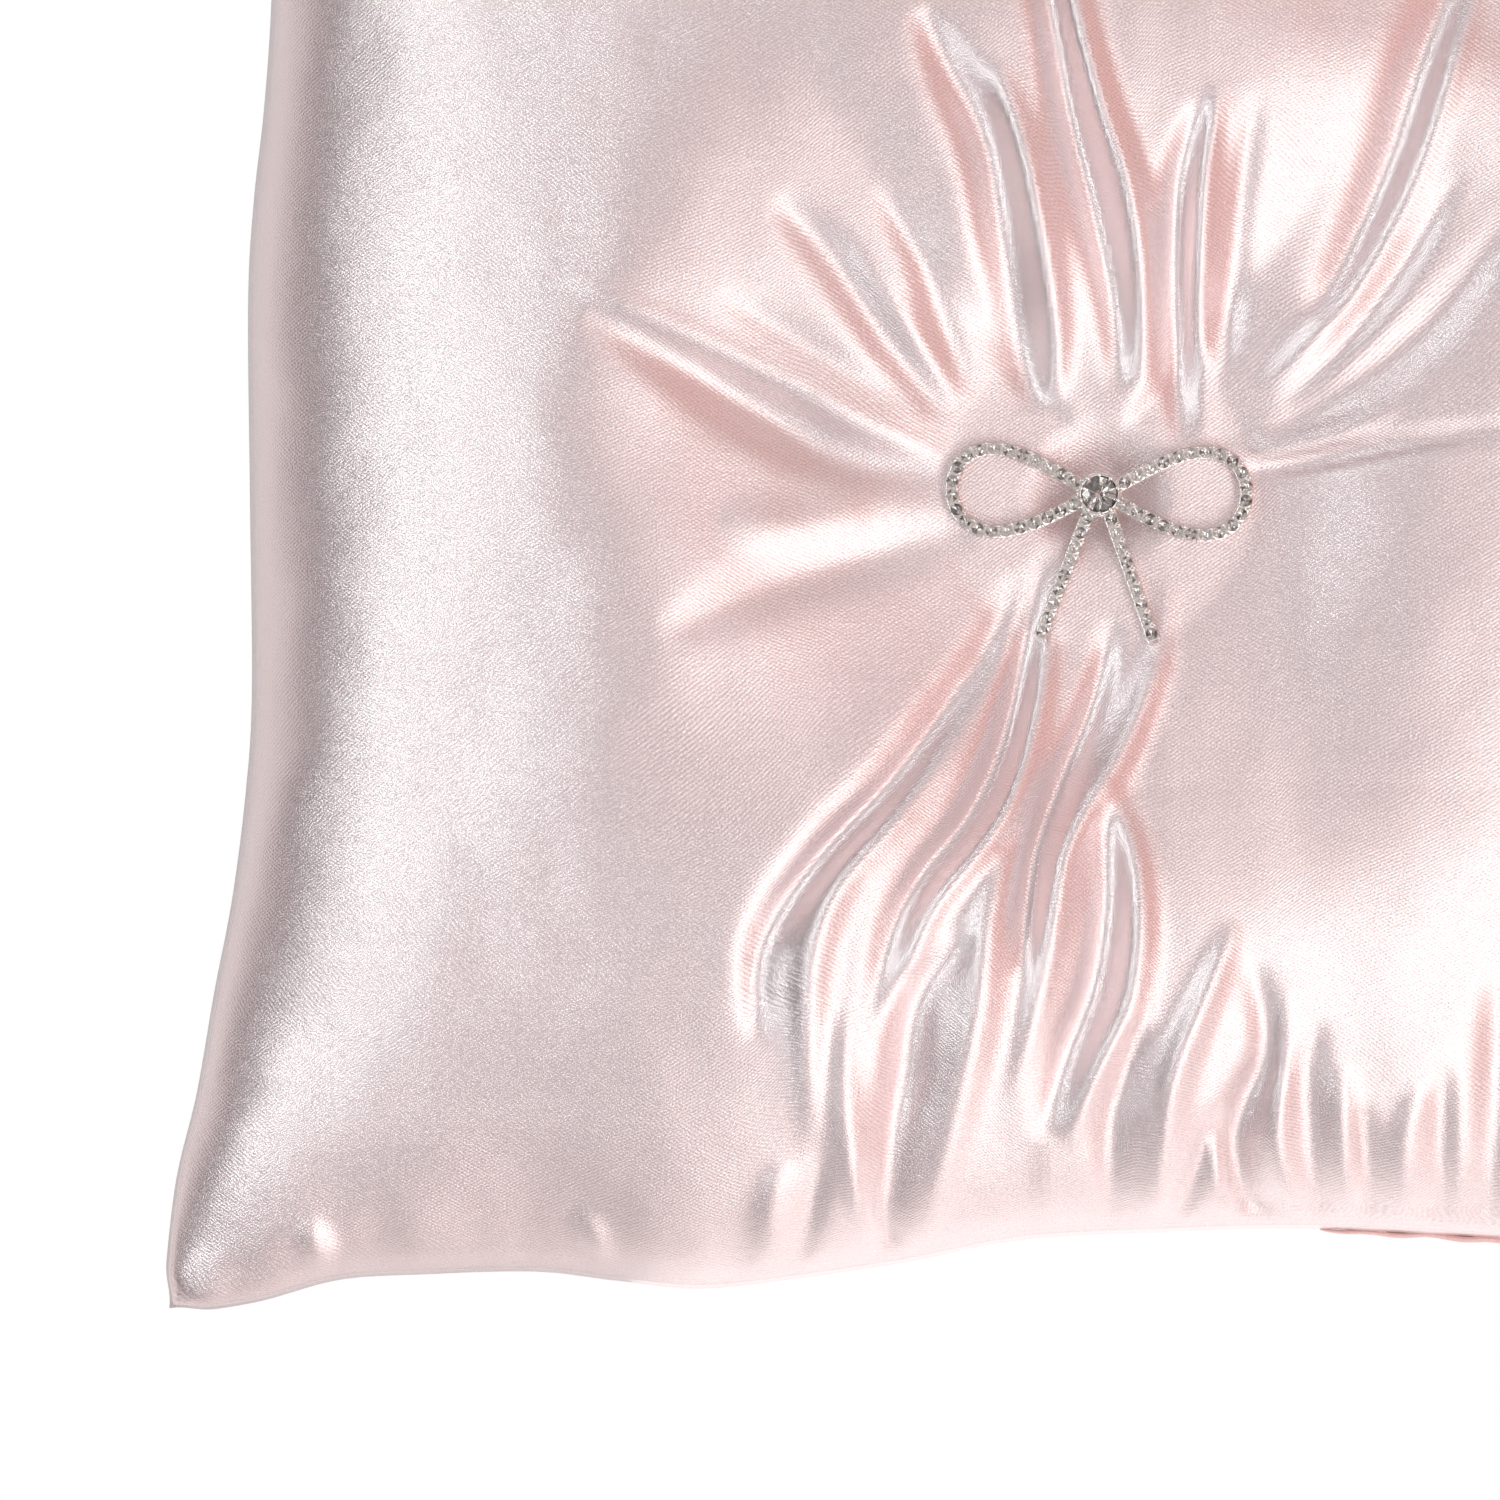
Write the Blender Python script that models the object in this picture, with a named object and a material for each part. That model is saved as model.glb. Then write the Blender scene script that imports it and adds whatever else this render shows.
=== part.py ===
"""A ring bearer pillow: a stuffed satin velvet cushion, tufted at one point. The tufting thread
holds a crystal bow on the front against a button on the back.

Metres, +Z up. The pillow lies on its back on the XY plane. The origin is on that plane under the
middle of the pillow, +X points to its right side and +Y to its top edge.
"""

import math

import bmesh
import bpy
from mathutils import Matrix, Vector

MM = 0.001

# Cushion
HALF_SIZE = 100 * MM  # from the middle to the corner tips, along X and along Y
SIDE_PULL = 0.095  # the share by which the stuffing draws in the middle of each side
PLUMPNESS = 0.42  # the exponent of the dome: lower is squarer in section
CLOTH = 0.8 * MM
GAP = 0.3 * MM  # between soft parts that touch
SEAM_HEIGHT = 26 * MM
SEAM_SPLIT = 1.0 * MM  # between the two panels, where the sewing thread lies
FRONT_RISE = 33.5 * MM
BACK_BULGE = 30 * MM  # before the table flattens it

# Tuft
TUFT = Vector((0, -12 * MM))
DIMPLE_FLOOR = 50 * MM
DIMPLE_FLOOR_RADIUS = 18.5 * MM
DIMPLE_RADIUS = 56 * MM
PIT_DEPTH = 2.4 * MM
PIT_FLOOR_RADIUS = 3.4 * MM
PIT_RADIUS = 7.5 * MM
RECESS_FLOOR = 4.5 * MM  # on the back, where the button lies
RECESS_FLOOR_RADIUS = 11 * MM
RECESS_RADIUS = 24 * MM
CHANNEL_RADIUS = 1.8 * MM  # for the thread, through the panels and the filling

# The panels are rings of points on rays from the tuft to the outline
RAYS_PER_SIDE = 10
SPREADS = (0.1, 0.24, 0.4, 0.58, 0.74, 0.86, 0.93)
RIM_SPREAD = 0.96  # outside this share of a ray, a panel is its turned-in seam allowance
PLACE_STEPS = 12

# Sewing
THREAD_RADIUS = 0.2 * MM
SEAM_SPREAD = 0.988
OPENING_START = 0.62  # of the bottom side's length, where the stuffing went in
OPENING_END = 0.92
SEAM_STEPS_PER_SIDE = 12
LADDER_STITCHES = 18
LADDER_SPREADS = (0.992, 0.982)

# Bow: its parts stack up from the back of the frame
BOW_TILT = math.radians(-1)
BOW_BACK = DIMPLE_FLOOR + 0.6 * MM
BAND_WIDTH = 1.5 * MM
BAND_THICKNESS = 0.7 * MM
METAL_GAP = 0.1 * MM
LOOP_CENTRE = 7.9 * MM  # the loop's curve, from the knot outwards
LOOP_REACH = 7.6 * MM
LOOP_SWELL = 6.1 * MM
LOOP_TAPER = 1.4  # higher is narrower towards the knot
LOOP_RISE = 0.02  # of the loop's middle, for its distance from the knot
LOOP_START = math.radians(38)
LOOP_STEPS = 30
TAIL_ROOT = Vector((0.95 * MM, -1.6 * MM))
TAIL_TIP = Vector((6.0 * MM, -15.3 * MM))
KNOT_RADIUS = 2.4 * MM

# Stones
STONE_RADIUS = 0.65 * MM
STONE_PAVILION = 0.5 * MM
STONE_CROWN = 0.25 * MM
STONE_TABLE = 0.55  # of the stone's radius
STONE_SIDES = 6
GLUE_WIDTH = 0.7 * MM
GLUE_THICKNESS = 0.15 * MM
GLUE_SETBACK = 0.5 * MM  # of the glue's ends, outside the end stones
STONES_FROM_KNOT = 2.95 * MM
LOOP_STONES = 22
TAIL_STONES = 9
TAIL_END_MARGIN = 0.75 * MM
CENTRE_STONE_RADIUS = 1.8 * MM
CENTRE_STONE_SIDES = 12
CUP_RADIUS = 2.2 * MM
CUP_HEIGHT = 1.1 * MM
CUP_FLOOR = 0.25 * MM
CUP_BORE = 1.55 * MM
CUP_SIDES = 24

# Tufting thread, bow shank and back button
TWINE_RADIUS = 0.3 * MM
TWINE_SPREAD = 1.05 * MM  # from the middle to each strand
TWINE_ARC_STEPS = 8
SHANK_RADIUS = 1.7 * MM
SHANK_WIRE = 0.4 * MM
SHANK_STEPS = 12
BUTTON_RADIUS = 5.5 * MM
BUTTON_THICKNESS = 2.0 * MM
BUTTON_RIM = 1.4 * MM
BUTTON_DISH = 0.5 * MM
BUTTON_HOLE = 0.8 * MM
BUTTON_SIDES = 32
HOLE_SIDES = 16

BUTTON_TOP = RECESS_FLOOR - GAP
BUTTON_BOTTOM = BUTTON_TOP - BUTTON_THICKNESS
FRAME_TOP = BOW_BACK + BAND_THICKNESS
SEAM_TOP = SEAM_HEIGHT + SEAM_SPLIT / 2
SEAM_BOTTOM = SEAM_HEIGHT - SEAM_SPLIT / 2


def clear_scene():
    for obj in list(bpy.data.objects):
        bpy.data.objects.remove(obj)


def material(name, colour, roughness, metallic=0.0, transmission=0.0):
    made = bpy.data.materials.new(name)
    made.use_nodes = True
    shader = made.node_tree.nodes["Principled BSDF"]
    shader.inputs["Base Color"].default_value = (*colour, 1)
    shader.inputs["Roughness"].default_value = roughness
    shader.inputs["Metallic"].default_value = metallic
    shader.inputs["Transmission Weight"].default_value = transmission
    return made


def add_object(name, data, look):
    data.materials.append(look)
    obj = bpy.data.objects.new(name, data)
    bpy.context.scene.collection.objects.link(obj)
    return obj


def add_mesh(name, points, faces, look):
    """An object from points and faces, with its faces made to point outwards."""
    mesh = bpy.data.meshes.new(name)
    form = bmesh.new()
    corners = [form.verts.new(point) for point in points]
    for face in faces:
        form.faces.new([corners[i] for i in face])
    bmesh.ops.recalc_face_normals(form, faces=form.faces)
    form.to_mesh(mesh)
    form.free()
    return add_object(name, mesh, look)


def boolean(target, tool, operation):
    """Joins the hidden tool to the target, or cuts it away."""
    tool.hide_render = True
    tool.display_type = "WIRE"
    modifier = target.modifiers.new(tool.name, "BOOLEAN")
    modifier.operation = operation
    modifier.object = tool


def ring_faces(ring_count, side_count, closed):
    """Quads between rings of points, the last ring joined to the first if closed."""
    faces = []
    for ring in range(ring_count if closed else ring_count - 1):
        after = (ring + 1) % ring_count
        for side in range(side_count):
            beside = (side + 1) % side_count
            faces.append(
                (
                    ring * side_count + side,
                    ring * side_count + beside,
                    after * side_count + beside,
                    after * side_count + side,
                )
            )
    return faces


def ring_torus(name, rings_out, rings_back, look):
    """A closed solid with a hole through it, from rings that run out from the hole and back.

    Quads are halved the same way out and back, so that sheets at an even distance never touch.
    """
    rings = rings_out + rings_back
    sides = len(rings[0])
    faces = []
    for i, (a, b, c, d) in enumerate(ring_faces(len(rings), sides, True)):
        if i < len(rings_out) * sides:
            faces += [(a, b, c), (a, c, d)]
        else:
            faces += [(a, b, d), (b, c, d)]
    return add_mesh(name, [point for ring in rings for point in ring], faces, look)


def lathe(name, profile, sides, centre, look):
    """A turned solid from (radius, height) points, its first and last rings capped."""
    points = []
    for radius, height in profile:
        for side in range(sides):
            angle = 2 * math.pi * side / sides
            points.append(
                (
                    centre.x + radius * math.cos(angle),
                    centre.y + radius * math.sin(angle),
                    height,
                )
            )
    faces = ring_faces(len(profile), sides, False)
    faces.append(tuple(range(sides)))
    faces.append(tuple(range((len(profile) - 1) * sides, len(profile) * sides)))
    return add_mesh(name, points, faces, look)


def tube(name, points, radius, look, closed=False, bevel_resolution=0):
    """A round thread or wire along straight stretches between the points."""
    curve = bpy.data.curves.new(name, "CURVE")
    curve.dimensions = "3D"
    curve.bevel_depth = radius
    curve.bevel_resolution = bevel_resolution
    curve.use_fill_caps = True
    spline = curve.splines.new("POLY")
    spline.points.add(len(points) - 1)
    for place, point in zip(spline.points, points):
        place.co = (*point, 1)
    spline.use_cyclic_u = closed
    return add_object(name, curve, look)


# Cushion


def plan(u, v):
    """The place on the table of a point of the flat square, whose sides are drawn in."""
    return Vector(
        (
            HALF_SIZE * u * (1 - SIDE_PULL * (1 - v * v)),
            HALF_SIZE * v * (1 - SIDE_PULL * (1 - u * u)),
        )
    )


def outline_point(along):
    """A point of the outline: along runs from 0 to 4, one for each side, from the lower left."""
    side = int(along) % 4
    across = 2 * (along - int(along)) - 1
    return plan(*((across, -1), (1, across), (-across, 1), (-1, -across))[side])


def fullness(place):
    """How full the cushion is at a place: 1 in the middle and 0 at the outline."""
    u, v = place / HALF_SIZE
    for _ in range(PLACE_STEPS):
        u, v = (
            place.x / (HALF_SIZE * (1 - SIDE_PULL * (1 - min(v * v, 1)))),
            place.y / (HALF_SIZE * (1 - SIDE_PULL * (1 - min(u * u, 1)))),
        )
    return (max(0, 1 - u * u) * max(0, 1 - v * v)) ** PLUMPNESS


def nearness(distance, inner, outer):
    """1 within the inner distance, falling smoothly to 0 at the outer one."""
    share = min(1, max(0, (outer - distance) / (outer - inner)))
    return share * share * (3 - 2 * share)


def front_height(place):
    distance = (place - TUFT).length
    dome = SEAM_TOP + FRONT_RISE * fullness(place)
    floor = DIMPLE_FLOOR - PIT_DEPTH * nearness(distance, PIT_FLOOR_RADIUS, PIT_RADIUS)
    dip = nearness(distance, DIMPLE_FLOOR_RADIUS, DIMPLE_RADIUS)
    return dome + (floor - dome) * dip


def back_height(place):
    distance = (place - TUFT).length
    dome = max(0, SEAM_BOTTOM - BACK_BULGE * fullness(place))
    return dome + (RECESS_FLOOR - dome) * nearness(
        distance, RECESS_FLOOR_RADIUS, RECESS_RADIUS
    )


def ray_ring(radius=None, spread=None):
    """Places round the tuft, at one radius or at one share of the way from there to the outline."""
    places = []
    for step in range(4 * RAYS_PER_SIDE):
        ray = outline_point(step / RAYS_PER_SIDE) - TUFT
        reach = radius
        if spread is not None:
            reach = DIMPLE_FLOOR_RADIUS + (ray.length - DIMPLE_FLOOR_RADIUS) * spread
        places.append(TUFT + ray.normalized() * reach)
    return places


def raised(places, height, offset=0.0):
    """Points over these places: height is a number, or a function of the place."""
    return [
        (*place, (height(place) if callable(height) else height) + offset)
        for place in places
    ]


def places_inside(core_radii, *spreads):
    """Rings of places at these radii round the tuft, then at these shares of the rays."""
    rings = [ray_ring(radius=radius) for radius in core_radii]
    return rings + [ray_ring(spread=spread) for spread in spreads]


def make_panel(name, height, seam_plane, inwards, core_radii, look):
    """A shell of cloth with its seam allowance turned in, open at the channel."""
    places = places_inside(core_radii, *SPREADS, RIM_SPREAD)
    outer = [raised(ring, height) for ring in places]
    outer.append(raised(ray_ring(spread=SEAM_SPREAD), height))
    outer.append(raised(ray_ring(spread=1), seam_plane))
    allowance = [raised(places[-1], seam_plane)]
    inner = [raised(ring, height, inwards * CLOTH) for ring in reversed(places)]
    return ring_torus(name, outer, allowance + inner, look)


def make_filling(front_core, back_core, look):
    """The stuffing, the same distance inside both panels, with the channel through it."""
    inset = CLOTH + GAP
    front, back = (places_inside(core, *SPREADS) for core in (front_core, back_core))
    top = [raised(ring, front_height, -inset) for ring in front]
    bottom = [raised(ring, back_height, inset) for ring in reversed(back)]
    return ring_torus("fibre_filling", top, bottom, look)


def seam_point(along, spread):
    place = TUFT + (outline_point(along) - TUFT) * spread
    return (*place, SEAM_HEIGHT)


def make_seam_thread(look):
    """The machine seam, from the right end of the stuffing opening round to its left end."""
    first = math.ceil(OPENING_END * SEAM_STEPS_PER_SIDE)
    last = math.floor((4 + OPENING_START) * SEAM_STEPS_PER_SIDE)
    steps = [step / SEAM_STEPS_PER_SIDE for step in range(first, last + 1)]
    points = [seam_point(along % 4, SEAM_SPREAD) for along in [OPENING_END, *steps]]
    return tube("seam_thread", points, THREAD_RADIUS, look)


def make_closing_thread(look):
    """The ladder stitch that closes the stuffing opening by hand."""
    margin = 1 / SEAM_STEPS_PER_SIDE / 4
    start = OPENING_START + margin
    stretch = OPENING_END - margin - start
    points = [
        seam_point(start + stretch * stitch / LADDER_STITCHES, LADDER_SPREADS[stitch % 2])
        for stitch in range(LADDER_STITCHES + 1)
    ]
    return tube("closing_thread", points, THREAD_RADIUS, look)


# Bow


def bow_place(x, y):
    """A point of the upright bow, with its knot at the tuft and its tilt."""
    return TUFT + Matrix.Rotation(BOW_TILT, 2) @ Vector((x, y))


def loop_place(angle, side):
    x = LOOP_CENTRE - LOOP_REACH * math.cos(angle)
    y = LOOP_SWELL * math.sin(angle) * math.sin(angle / 2) ** LOOP_TAPER
    return bow_place(side * x, y + LOOP_RISE * x)


def loop_line(side):
    """The middle of a loop's band, out from the knot and back."""
    sweep = 2 * (math.pi - LOOP_START)
    return [
        loop_place(LOOP_START + sweep * step / LOOP_STEPS, side)
        for step in range(LOOP_STEPS + 1)
    ]


def tail_line(side):
    return [bow_place(side * end.x, end.y) for end in (TAIL_ROOT, TAIL_TIP)]


def ribbon(name, line, width, bottom, top, look):
    """A flat band of metal or glue along a line on the bow."""
    rings = []
    for i, place in enumerate(line):
        before, after = line[max(i - 1, 0)], line[min(i + 1, len(line) - 1)]
        direction = (after - before).normalized()
        across = Vector((-direction.y, direction.x)) * width / 2
        left, right = place + across, place - across
        rings.append([(*left, bottom), (*right, bottom), (*right, top), (*left, top)])
    faces = ring_faces(len(rings), 4, False)
    faces += [(0, 1, 2, 3), tuple(range(4 * len(rings) - 4, 4 * len(rings)))]
    return add_mesh(name, [point for ring in rings for point in ring], faces, look)


def make_frame(look):
    profile = [(KNOT_RADIUS, BOW_BACK), (KNOT_RADIUS, FRAME_TOP)]
    frame = lathe("bow_frame", profile, CUP_SIDES, TUFT, look)
    for side, label in ((-1, "left"), (1, "right")):
        for line, part in ((loop_line(side), "loop"), (tail_line(side), "tail")):
            name = f"{label}_{part}_band"
            band = ribbon(name, line, BAND_WIDTH, BOW_BACK, FRAME_TOP, look)
            boolean(frame, band, "UNION")
    return frame


def spaced(line, count, start, end):
    """Places at even steps along a line, from the start distance to the end distance."""
    lengths = [0.0]
    for before, after in zip(line, line[1:]):
        lengths.append(lengths[-1] + (after - before).length)
    places = []
    for step in range(count):
        wanted = start + (lengths[-1] - start - end) * step / (count - 1)
        i = next(k for k in range(1, len(lengths)) if lengths[k] >= wanted or k == len(lengths) - 1)
        share = (wanted - lengths[i - 1]) / (lengths[i] - lengths[i - 1])
        places.append(line[i - 1].lerp(line[i], share))
    return places


def knot_clearance(line):
    """How far along a line from the knot its first stone comes."""
    start = line[0] - TUFT
    direction = (line[1] - line[0]).normalized()
    along = start.dot(direction)
    return math.sqrt(STONES_FROM_KNOT**2 - start.length**2 + along**2) - along


def stone_rings(centre, radius, sides, culet_height, pavilion, crown):
    girdle, table = culet_height + pavilion, culet_height + pavilion + crown
    rings = []
    for ring_radius, height in ((radius, girdle), (radius * STONE_TABLE, table)):
        for side in range(sides):
            angle = 2 * math.pi * side / sides
            offset = Vector((math.cos(angle), math.sin(angle))) * ring_radius
            rings.append((*(centre + offset), height))
    return [*rings, (*centre, culet_height)]


def stone_faces(sides, first):
    """A stone's crown, table and pavilion, its points numbered from first."""
    faces = ring_faces(2, sides, False) + [tuple(range(sides, 2 * sides))]
    faces += [(side, (side + 1) % sides, 2 * sides) for side in range(sides)]
    return [tuple(first + i for i in face) for face in faces]


def make_stone_run(name, line, count, end_margin, stone_look, glue_look):
    """A row of small stones, joined by the strip of glue that they sit in."""
    start = knot_clearance(line)
    end = end_margin if end_margin is not None else start
    glue_bottom = FRAME_TOP + METAL_GAP
    glue_top = glue_bottom + GLUE_THICKNESS
    points, faces = [], []
    for place in spaced(line, count, start, end):
        faces += stone_faces(STONE_SIDES, len(points))
        points += stone_rings(
            place,
            STONE_RADIUS,
            STONE_SIDES,
            (glue_bottom + glue_top) / 2,
            STONE_PAVILION,
            STONE_CROWN,
        )
    run = add_mesh(name, points, faces, stone_look)
    glue_line = spaced(line, count * 2, start - GLUE_SETBACK, end - GLUE_SETBACK)
    glue = ribbon(f"{name}_glue", glue_line, GLUE_WIDTH, glue_bottom, glue_top, glue_look)
    boolean(run, glue, "UNION")
    return run


def make_stones(stone_look, glue_look):
    for side, label in ((-1, "left"), (1, "right")):
        make_stone_run(
            f"{label}_loop_stones", loop_line(side), LOOP_STONES, None, stone_look, glue_look
        )
        make_stone_run(
            f"{label}_tail_stones",
            tail_line(side),
            TAIL_STONES,
            TAIL_END_MARGIN,
            stone_look,
            glue_look,
        )


def make_centre(cup_look, stone_look):
    """The knot's cup, with a seat that narrows to its floor, and the stone in it."""
    bottom = FRAME_TOP + METAL_GAP
    lip = CENTRE_STONE_RADIUS + METAL_GAP
    profile = [
        (CUP_RADIUS, bottom),
        (CUP_RADIUS, bottom + CUP_HEIGHT),
        (lip, bottom + CUP_HEIGHT),
        (CUP_BORE / 2, bottom + CUP_FLOOR),
    ]
    lathe("centre_cup", profile, CUP_SIDES, TUFT, cup_look)
    pavilion = CUP_HEIGHT - CUP_FLOOR
    points = stone_rings(
        TUFT,
        CENTRE_STONE_RADIUS,
        CENTRE_STONE_SIDES,
        bottom + CUP_FLOOR + 2 * METAL_GAP,
        pavilion,
        pavilion / 2,
    )
    add_mesh("centre_stone", points, stone_faces(CENTRE_STONE_SIDES, 0), stone_look)


def make_shank(look):
    """The wire loop soldered behind the knot, which the tufting thread passes through."""
    points = []
    for step in range(SHANK_STEPS + 1):
        angle = math.pi * step / SHANK_STEPS
        offset = bow_place(SHANK_RADIUS * math.cos(angle), 0)
        points.append(
            (*offset, BOW_BACK - METAL_GAP - SHANK_RADIUS * math.sin(angle))
        )
    return tube("bow_shank", points, SHANK_WIRE, look, bevel_resolution=1)


# Tufting


def make_tufting_thread(look):
    """One closed loop: over the shank's wire, through the cushion and round the button's web."""
    over_wire = SHANK_RADIUS - SHANK_WIRE - METAL_GAP - TWINE_RADIUS
    top_centre = BOW_BACK - METAL_GAP - over_wire - TWINE_SPREAD
    bottom_centre = BUTTON_BOTTOM - METAL_GAP * 1.5 - TWINE_RADIUS + TWINE_SPREAD
    points = []
    for centre, first in ((top_centre, 0.0), (bottom_centre, math.pi)):
        for step in range(TWINE_ARC_STEPS + 1):
            angle = first + math.pi * step / TWINE_ARC_STEPS
            y = TUFT.y + TWINE_SPREAD * math.cos(angle)
            points.append((TUFT.x, y, centre + TWINE_SPREAD * math.sin(angle)))
    return tube(
        "tufting_thread", points, TWINE_RADIUS, look, closed=True, bevel_resolution=1
    )


def make_button(look):
    """A flat sewing button with a raised rim and two holes."""
    profile = [
        (BUTTON_RADIUS - BUTTON_RIM, BUTTON_BOTTOM + BUTTON_DISH),
        (BUTTON_RADIUS - BUTTON_RIM, BUTTON_BOTTOM),
        (BUTTON_RADIUS, BUTTON_BOTTOM + BUTTON_DISH),
        (BUTTON_RADIUS, BUTTON_TOP - BUTTON_DISH),
        (BUTTON_RADIUS - BUTTON_DISH, BUTTON_TOP),
    ]
    button = lathe("back_button", profile, BUTTON_SIDES, TUFT, look)
    for side, label in ((-1, "lower"), (1, "upper")):
        centre = TUFT + Vector((0, side * TWINE_SPREAD))
        hole = lathe(
            f"{label}_hole_cutter",
            [(BUTTON_HOLE, 0.0), (BUTTON_HOLE, 2 * BUTTON_TOP)],
            HOLE_SIDES,
            centre,
            look,
        )
        boolean(button, hole, "DIFFERENCE")
    return button


def shade_smooth(names, angle):
    """Smooth shading on round and soft parts, with edges sharper than the angle kept."""
    for name in names:
        mesh = bpy.data.objects[name].data
        mesh.shade_smooth()
        mesh.set_sharp_from_angle(angle=math.radians(angle))


def main():
    clear_scene()
    velvet = material("satin_velvet", (0.86, 0.69, 0.69), 0.38)
    fibre = material("white_fibre", (0.93, 0.93, 0.91), 0.95)
    thread = material("pink_thread", (0.88, 0.66, 0.65), 0.6)
    silver = material("silver_plate", (0.80, 0.79, 0.77), 0.22, metallic=1.0)
    crystal = material("crystal", (0.95, 0.96, 0.95), 0.03, transmission=0.9)
    glue = material("clear_glue", (0.90, 0.89, 0.84), 0.3)
    pearl = material("button_plastic", (0.91, 0.84, 0.83), 0.3)

    front_core = (
        CHANNEL_RADIUS,
        PIT_FLOOR_RADIUS,
        PIT_RADIUS,
        DIMPLE_FLOOR_RADIUS,
    )
    back_core = (
        CHANNEL_RADIUS,
        RECESS_FLOOR_RADIUS * 0.6,
        RECESS_FLOOR_RADIUS,
        DIMPLE_FLOOR_RADIUS,
    )
    make_panel("front_panel", front_height, SEAM_TOP, -1, front_core, velvet)
    make_panel("back_panel", back_height, SEAM_BOTTOM, 1, back_core, velvet)
    make_filling(front_core, back_core, fibre)
    make_seam_thread(thread)
    make_closing_thread(thread)

    make_frame(silver)
    make_stones(crystal, glue)
    make_centre(silver, crystal)
    make_shank(silver)

    make_tufting_thread(thread)
    make_button(pearl)
    shade_smooth(("front_panel", "back_panel", "fibre_filling", "back_button"), 40)


main()
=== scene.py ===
"""The looks of a ring bearer pillow: a satin velvet cushion, tufted under a crystal bow.

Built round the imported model. Names that end in _MM or _mm are in millimetres, the rest in metres.
"""

import math

import bpy
import numpy as np
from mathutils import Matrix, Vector


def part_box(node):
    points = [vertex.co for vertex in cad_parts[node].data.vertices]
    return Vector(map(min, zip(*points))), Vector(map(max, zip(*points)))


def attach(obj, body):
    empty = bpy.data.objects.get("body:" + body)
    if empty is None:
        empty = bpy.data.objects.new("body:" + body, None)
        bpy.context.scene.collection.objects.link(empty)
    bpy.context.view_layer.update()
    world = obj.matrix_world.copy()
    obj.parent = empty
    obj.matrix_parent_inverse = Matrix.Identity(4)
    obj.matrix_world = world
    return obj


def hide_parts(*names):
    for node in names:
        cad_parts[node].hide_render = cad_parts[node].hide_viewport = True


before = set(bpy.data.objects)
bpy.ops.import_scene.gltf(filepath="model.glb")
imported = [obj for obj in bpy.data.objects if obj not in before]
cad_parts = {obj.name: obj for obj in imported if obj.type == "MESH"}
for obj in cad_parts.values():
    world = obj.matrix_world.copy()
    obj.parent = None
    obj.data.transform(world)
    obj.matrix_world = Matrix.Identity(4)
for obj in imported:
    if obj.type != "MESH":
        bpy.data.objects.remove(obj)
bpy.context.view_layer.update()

MM = 0.001

# Where things are, from the frame
FRAME_LOW, FRAME_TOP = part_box("bow_frame")
CUP_LOW, CUP_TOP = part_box("centre_cup")
TUFT = (CUP_LOW + CUP_TOP) / 2
SEAM_LOW, SEAM_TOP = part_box("seam_thread")
TUFT_MM = np.array([TUFT.x, TUFT.y]) / MM
SEAM_MM = (SEAM_LOW.z + SEAM_TOP.z) / 2 / MM
BOW_BACK_MM = FRAME_LOW.z / MM
BOW_TOP_MM = FRAME_TOP.z / MM
CUP_BOTTOM_MM = CUP_LOW.z / MM
CUP_LIP_MM = CUP_TOP.z / MM
CUP_RADIUS_MM = (CUP_TOP.x - CUP_LOW.x) / 2 / MM
STONE_LOW, STONE_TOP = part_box("centre_stone")
STONE_RADIUS_MM = (STONE_TOP.x - STONE_LOW.x) / 2 / MM
CRYSTAL_TABLE_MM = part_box("left_tail_stones")[1].z / MM

# The cushion's outline: how far out each side is, at places along it
SIDES_MM = {
    "left": (
        (-100, 99.6), (-86, 98.1), (-76, 95.8), (-65, 93.9), (-55, 92.0), (-44, 90.6), (-33, 89.9),
        (-12, 90.1), (9, 90.3), (20, 89.7), (30, 88.6), (42, 87.8), (58, 87.6), (74, 89.8), (88, 94),
        (100, 99),
    ),
    "bottom": (
        (-100, 99.4), (-90, 97.9), (-81, 95.5), (-72, 94.9), (-60, 94.6), (-51, 95.6), (-42, 96.4),
        (-31, 95.2), (-20, 93.5), (-8, 91.2), (6, 90.4), (22, 90.0), (43, 91), (62, 92), (82, 95.4),
        (100, 100),
    ),
    "right": ((-100, 100), (-70, 94.6), (-30, 90.8), (10, 90.2), (50, 91.6), (80, 96), (100, 100)),
    "top": ((-100, 99), (-70, 93.8), (-30, 90.2), (10, 90.6), (50, 92.0), (80, 96), (100, 100)),
}
CORNER_CUT_MM = 0.9
CORNER_ROUNDING = 0.06

FRONT_RISE_MM = 34
BACK_BULGE_MM = 30
PLUMPNESS = 0.42
FRONT_CELLS = 280
BACK_CELLS = 160
LINING_STEP = 4
LINING_SHRINK = 0.965
CLOTH_MM = 0.8
COVER_GAP_MM = 0.3  # from the seam's middle to each cover, beside it
TURN_IN_MM = 1.2
STUFFING_CELLS = 160

PUCKER_HEIGHT_MM = 0.3
PUCKER_PITCH_MM = 7
PUCKER_REACH_MM = 7
LUMP_MM = 0.22
CREASE_MM = 0.05
FOLD_EDGE = 0.04  # the part of the half width over which folds grow in from the seam

DIMPLE_FLOOR_MM = 50
DIMPLE_FLOOR_RADIUS_MM = 14
BOW_SWEEP_MM = 16.6
BOW_CLEARANCE_MM = 0.1
CEILING_SLOPE = 0.6  # of the highest that cloth may rise, out from under the turning bow
CEILING_SOFTNESS_MM = 0.7
BULGE_MM = 9.5
DIMPLE_RADIUS_MM = 62
DIMPLE_WANDER_MM = 5
PIT_DEPTH_MM = 1.9
PIT_RADIUS_MM = (2.3, 8.5)
RECESS_FLOOR_MM = 4.5
RECESS_RADIUS_MM = (9, 24)

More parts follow.
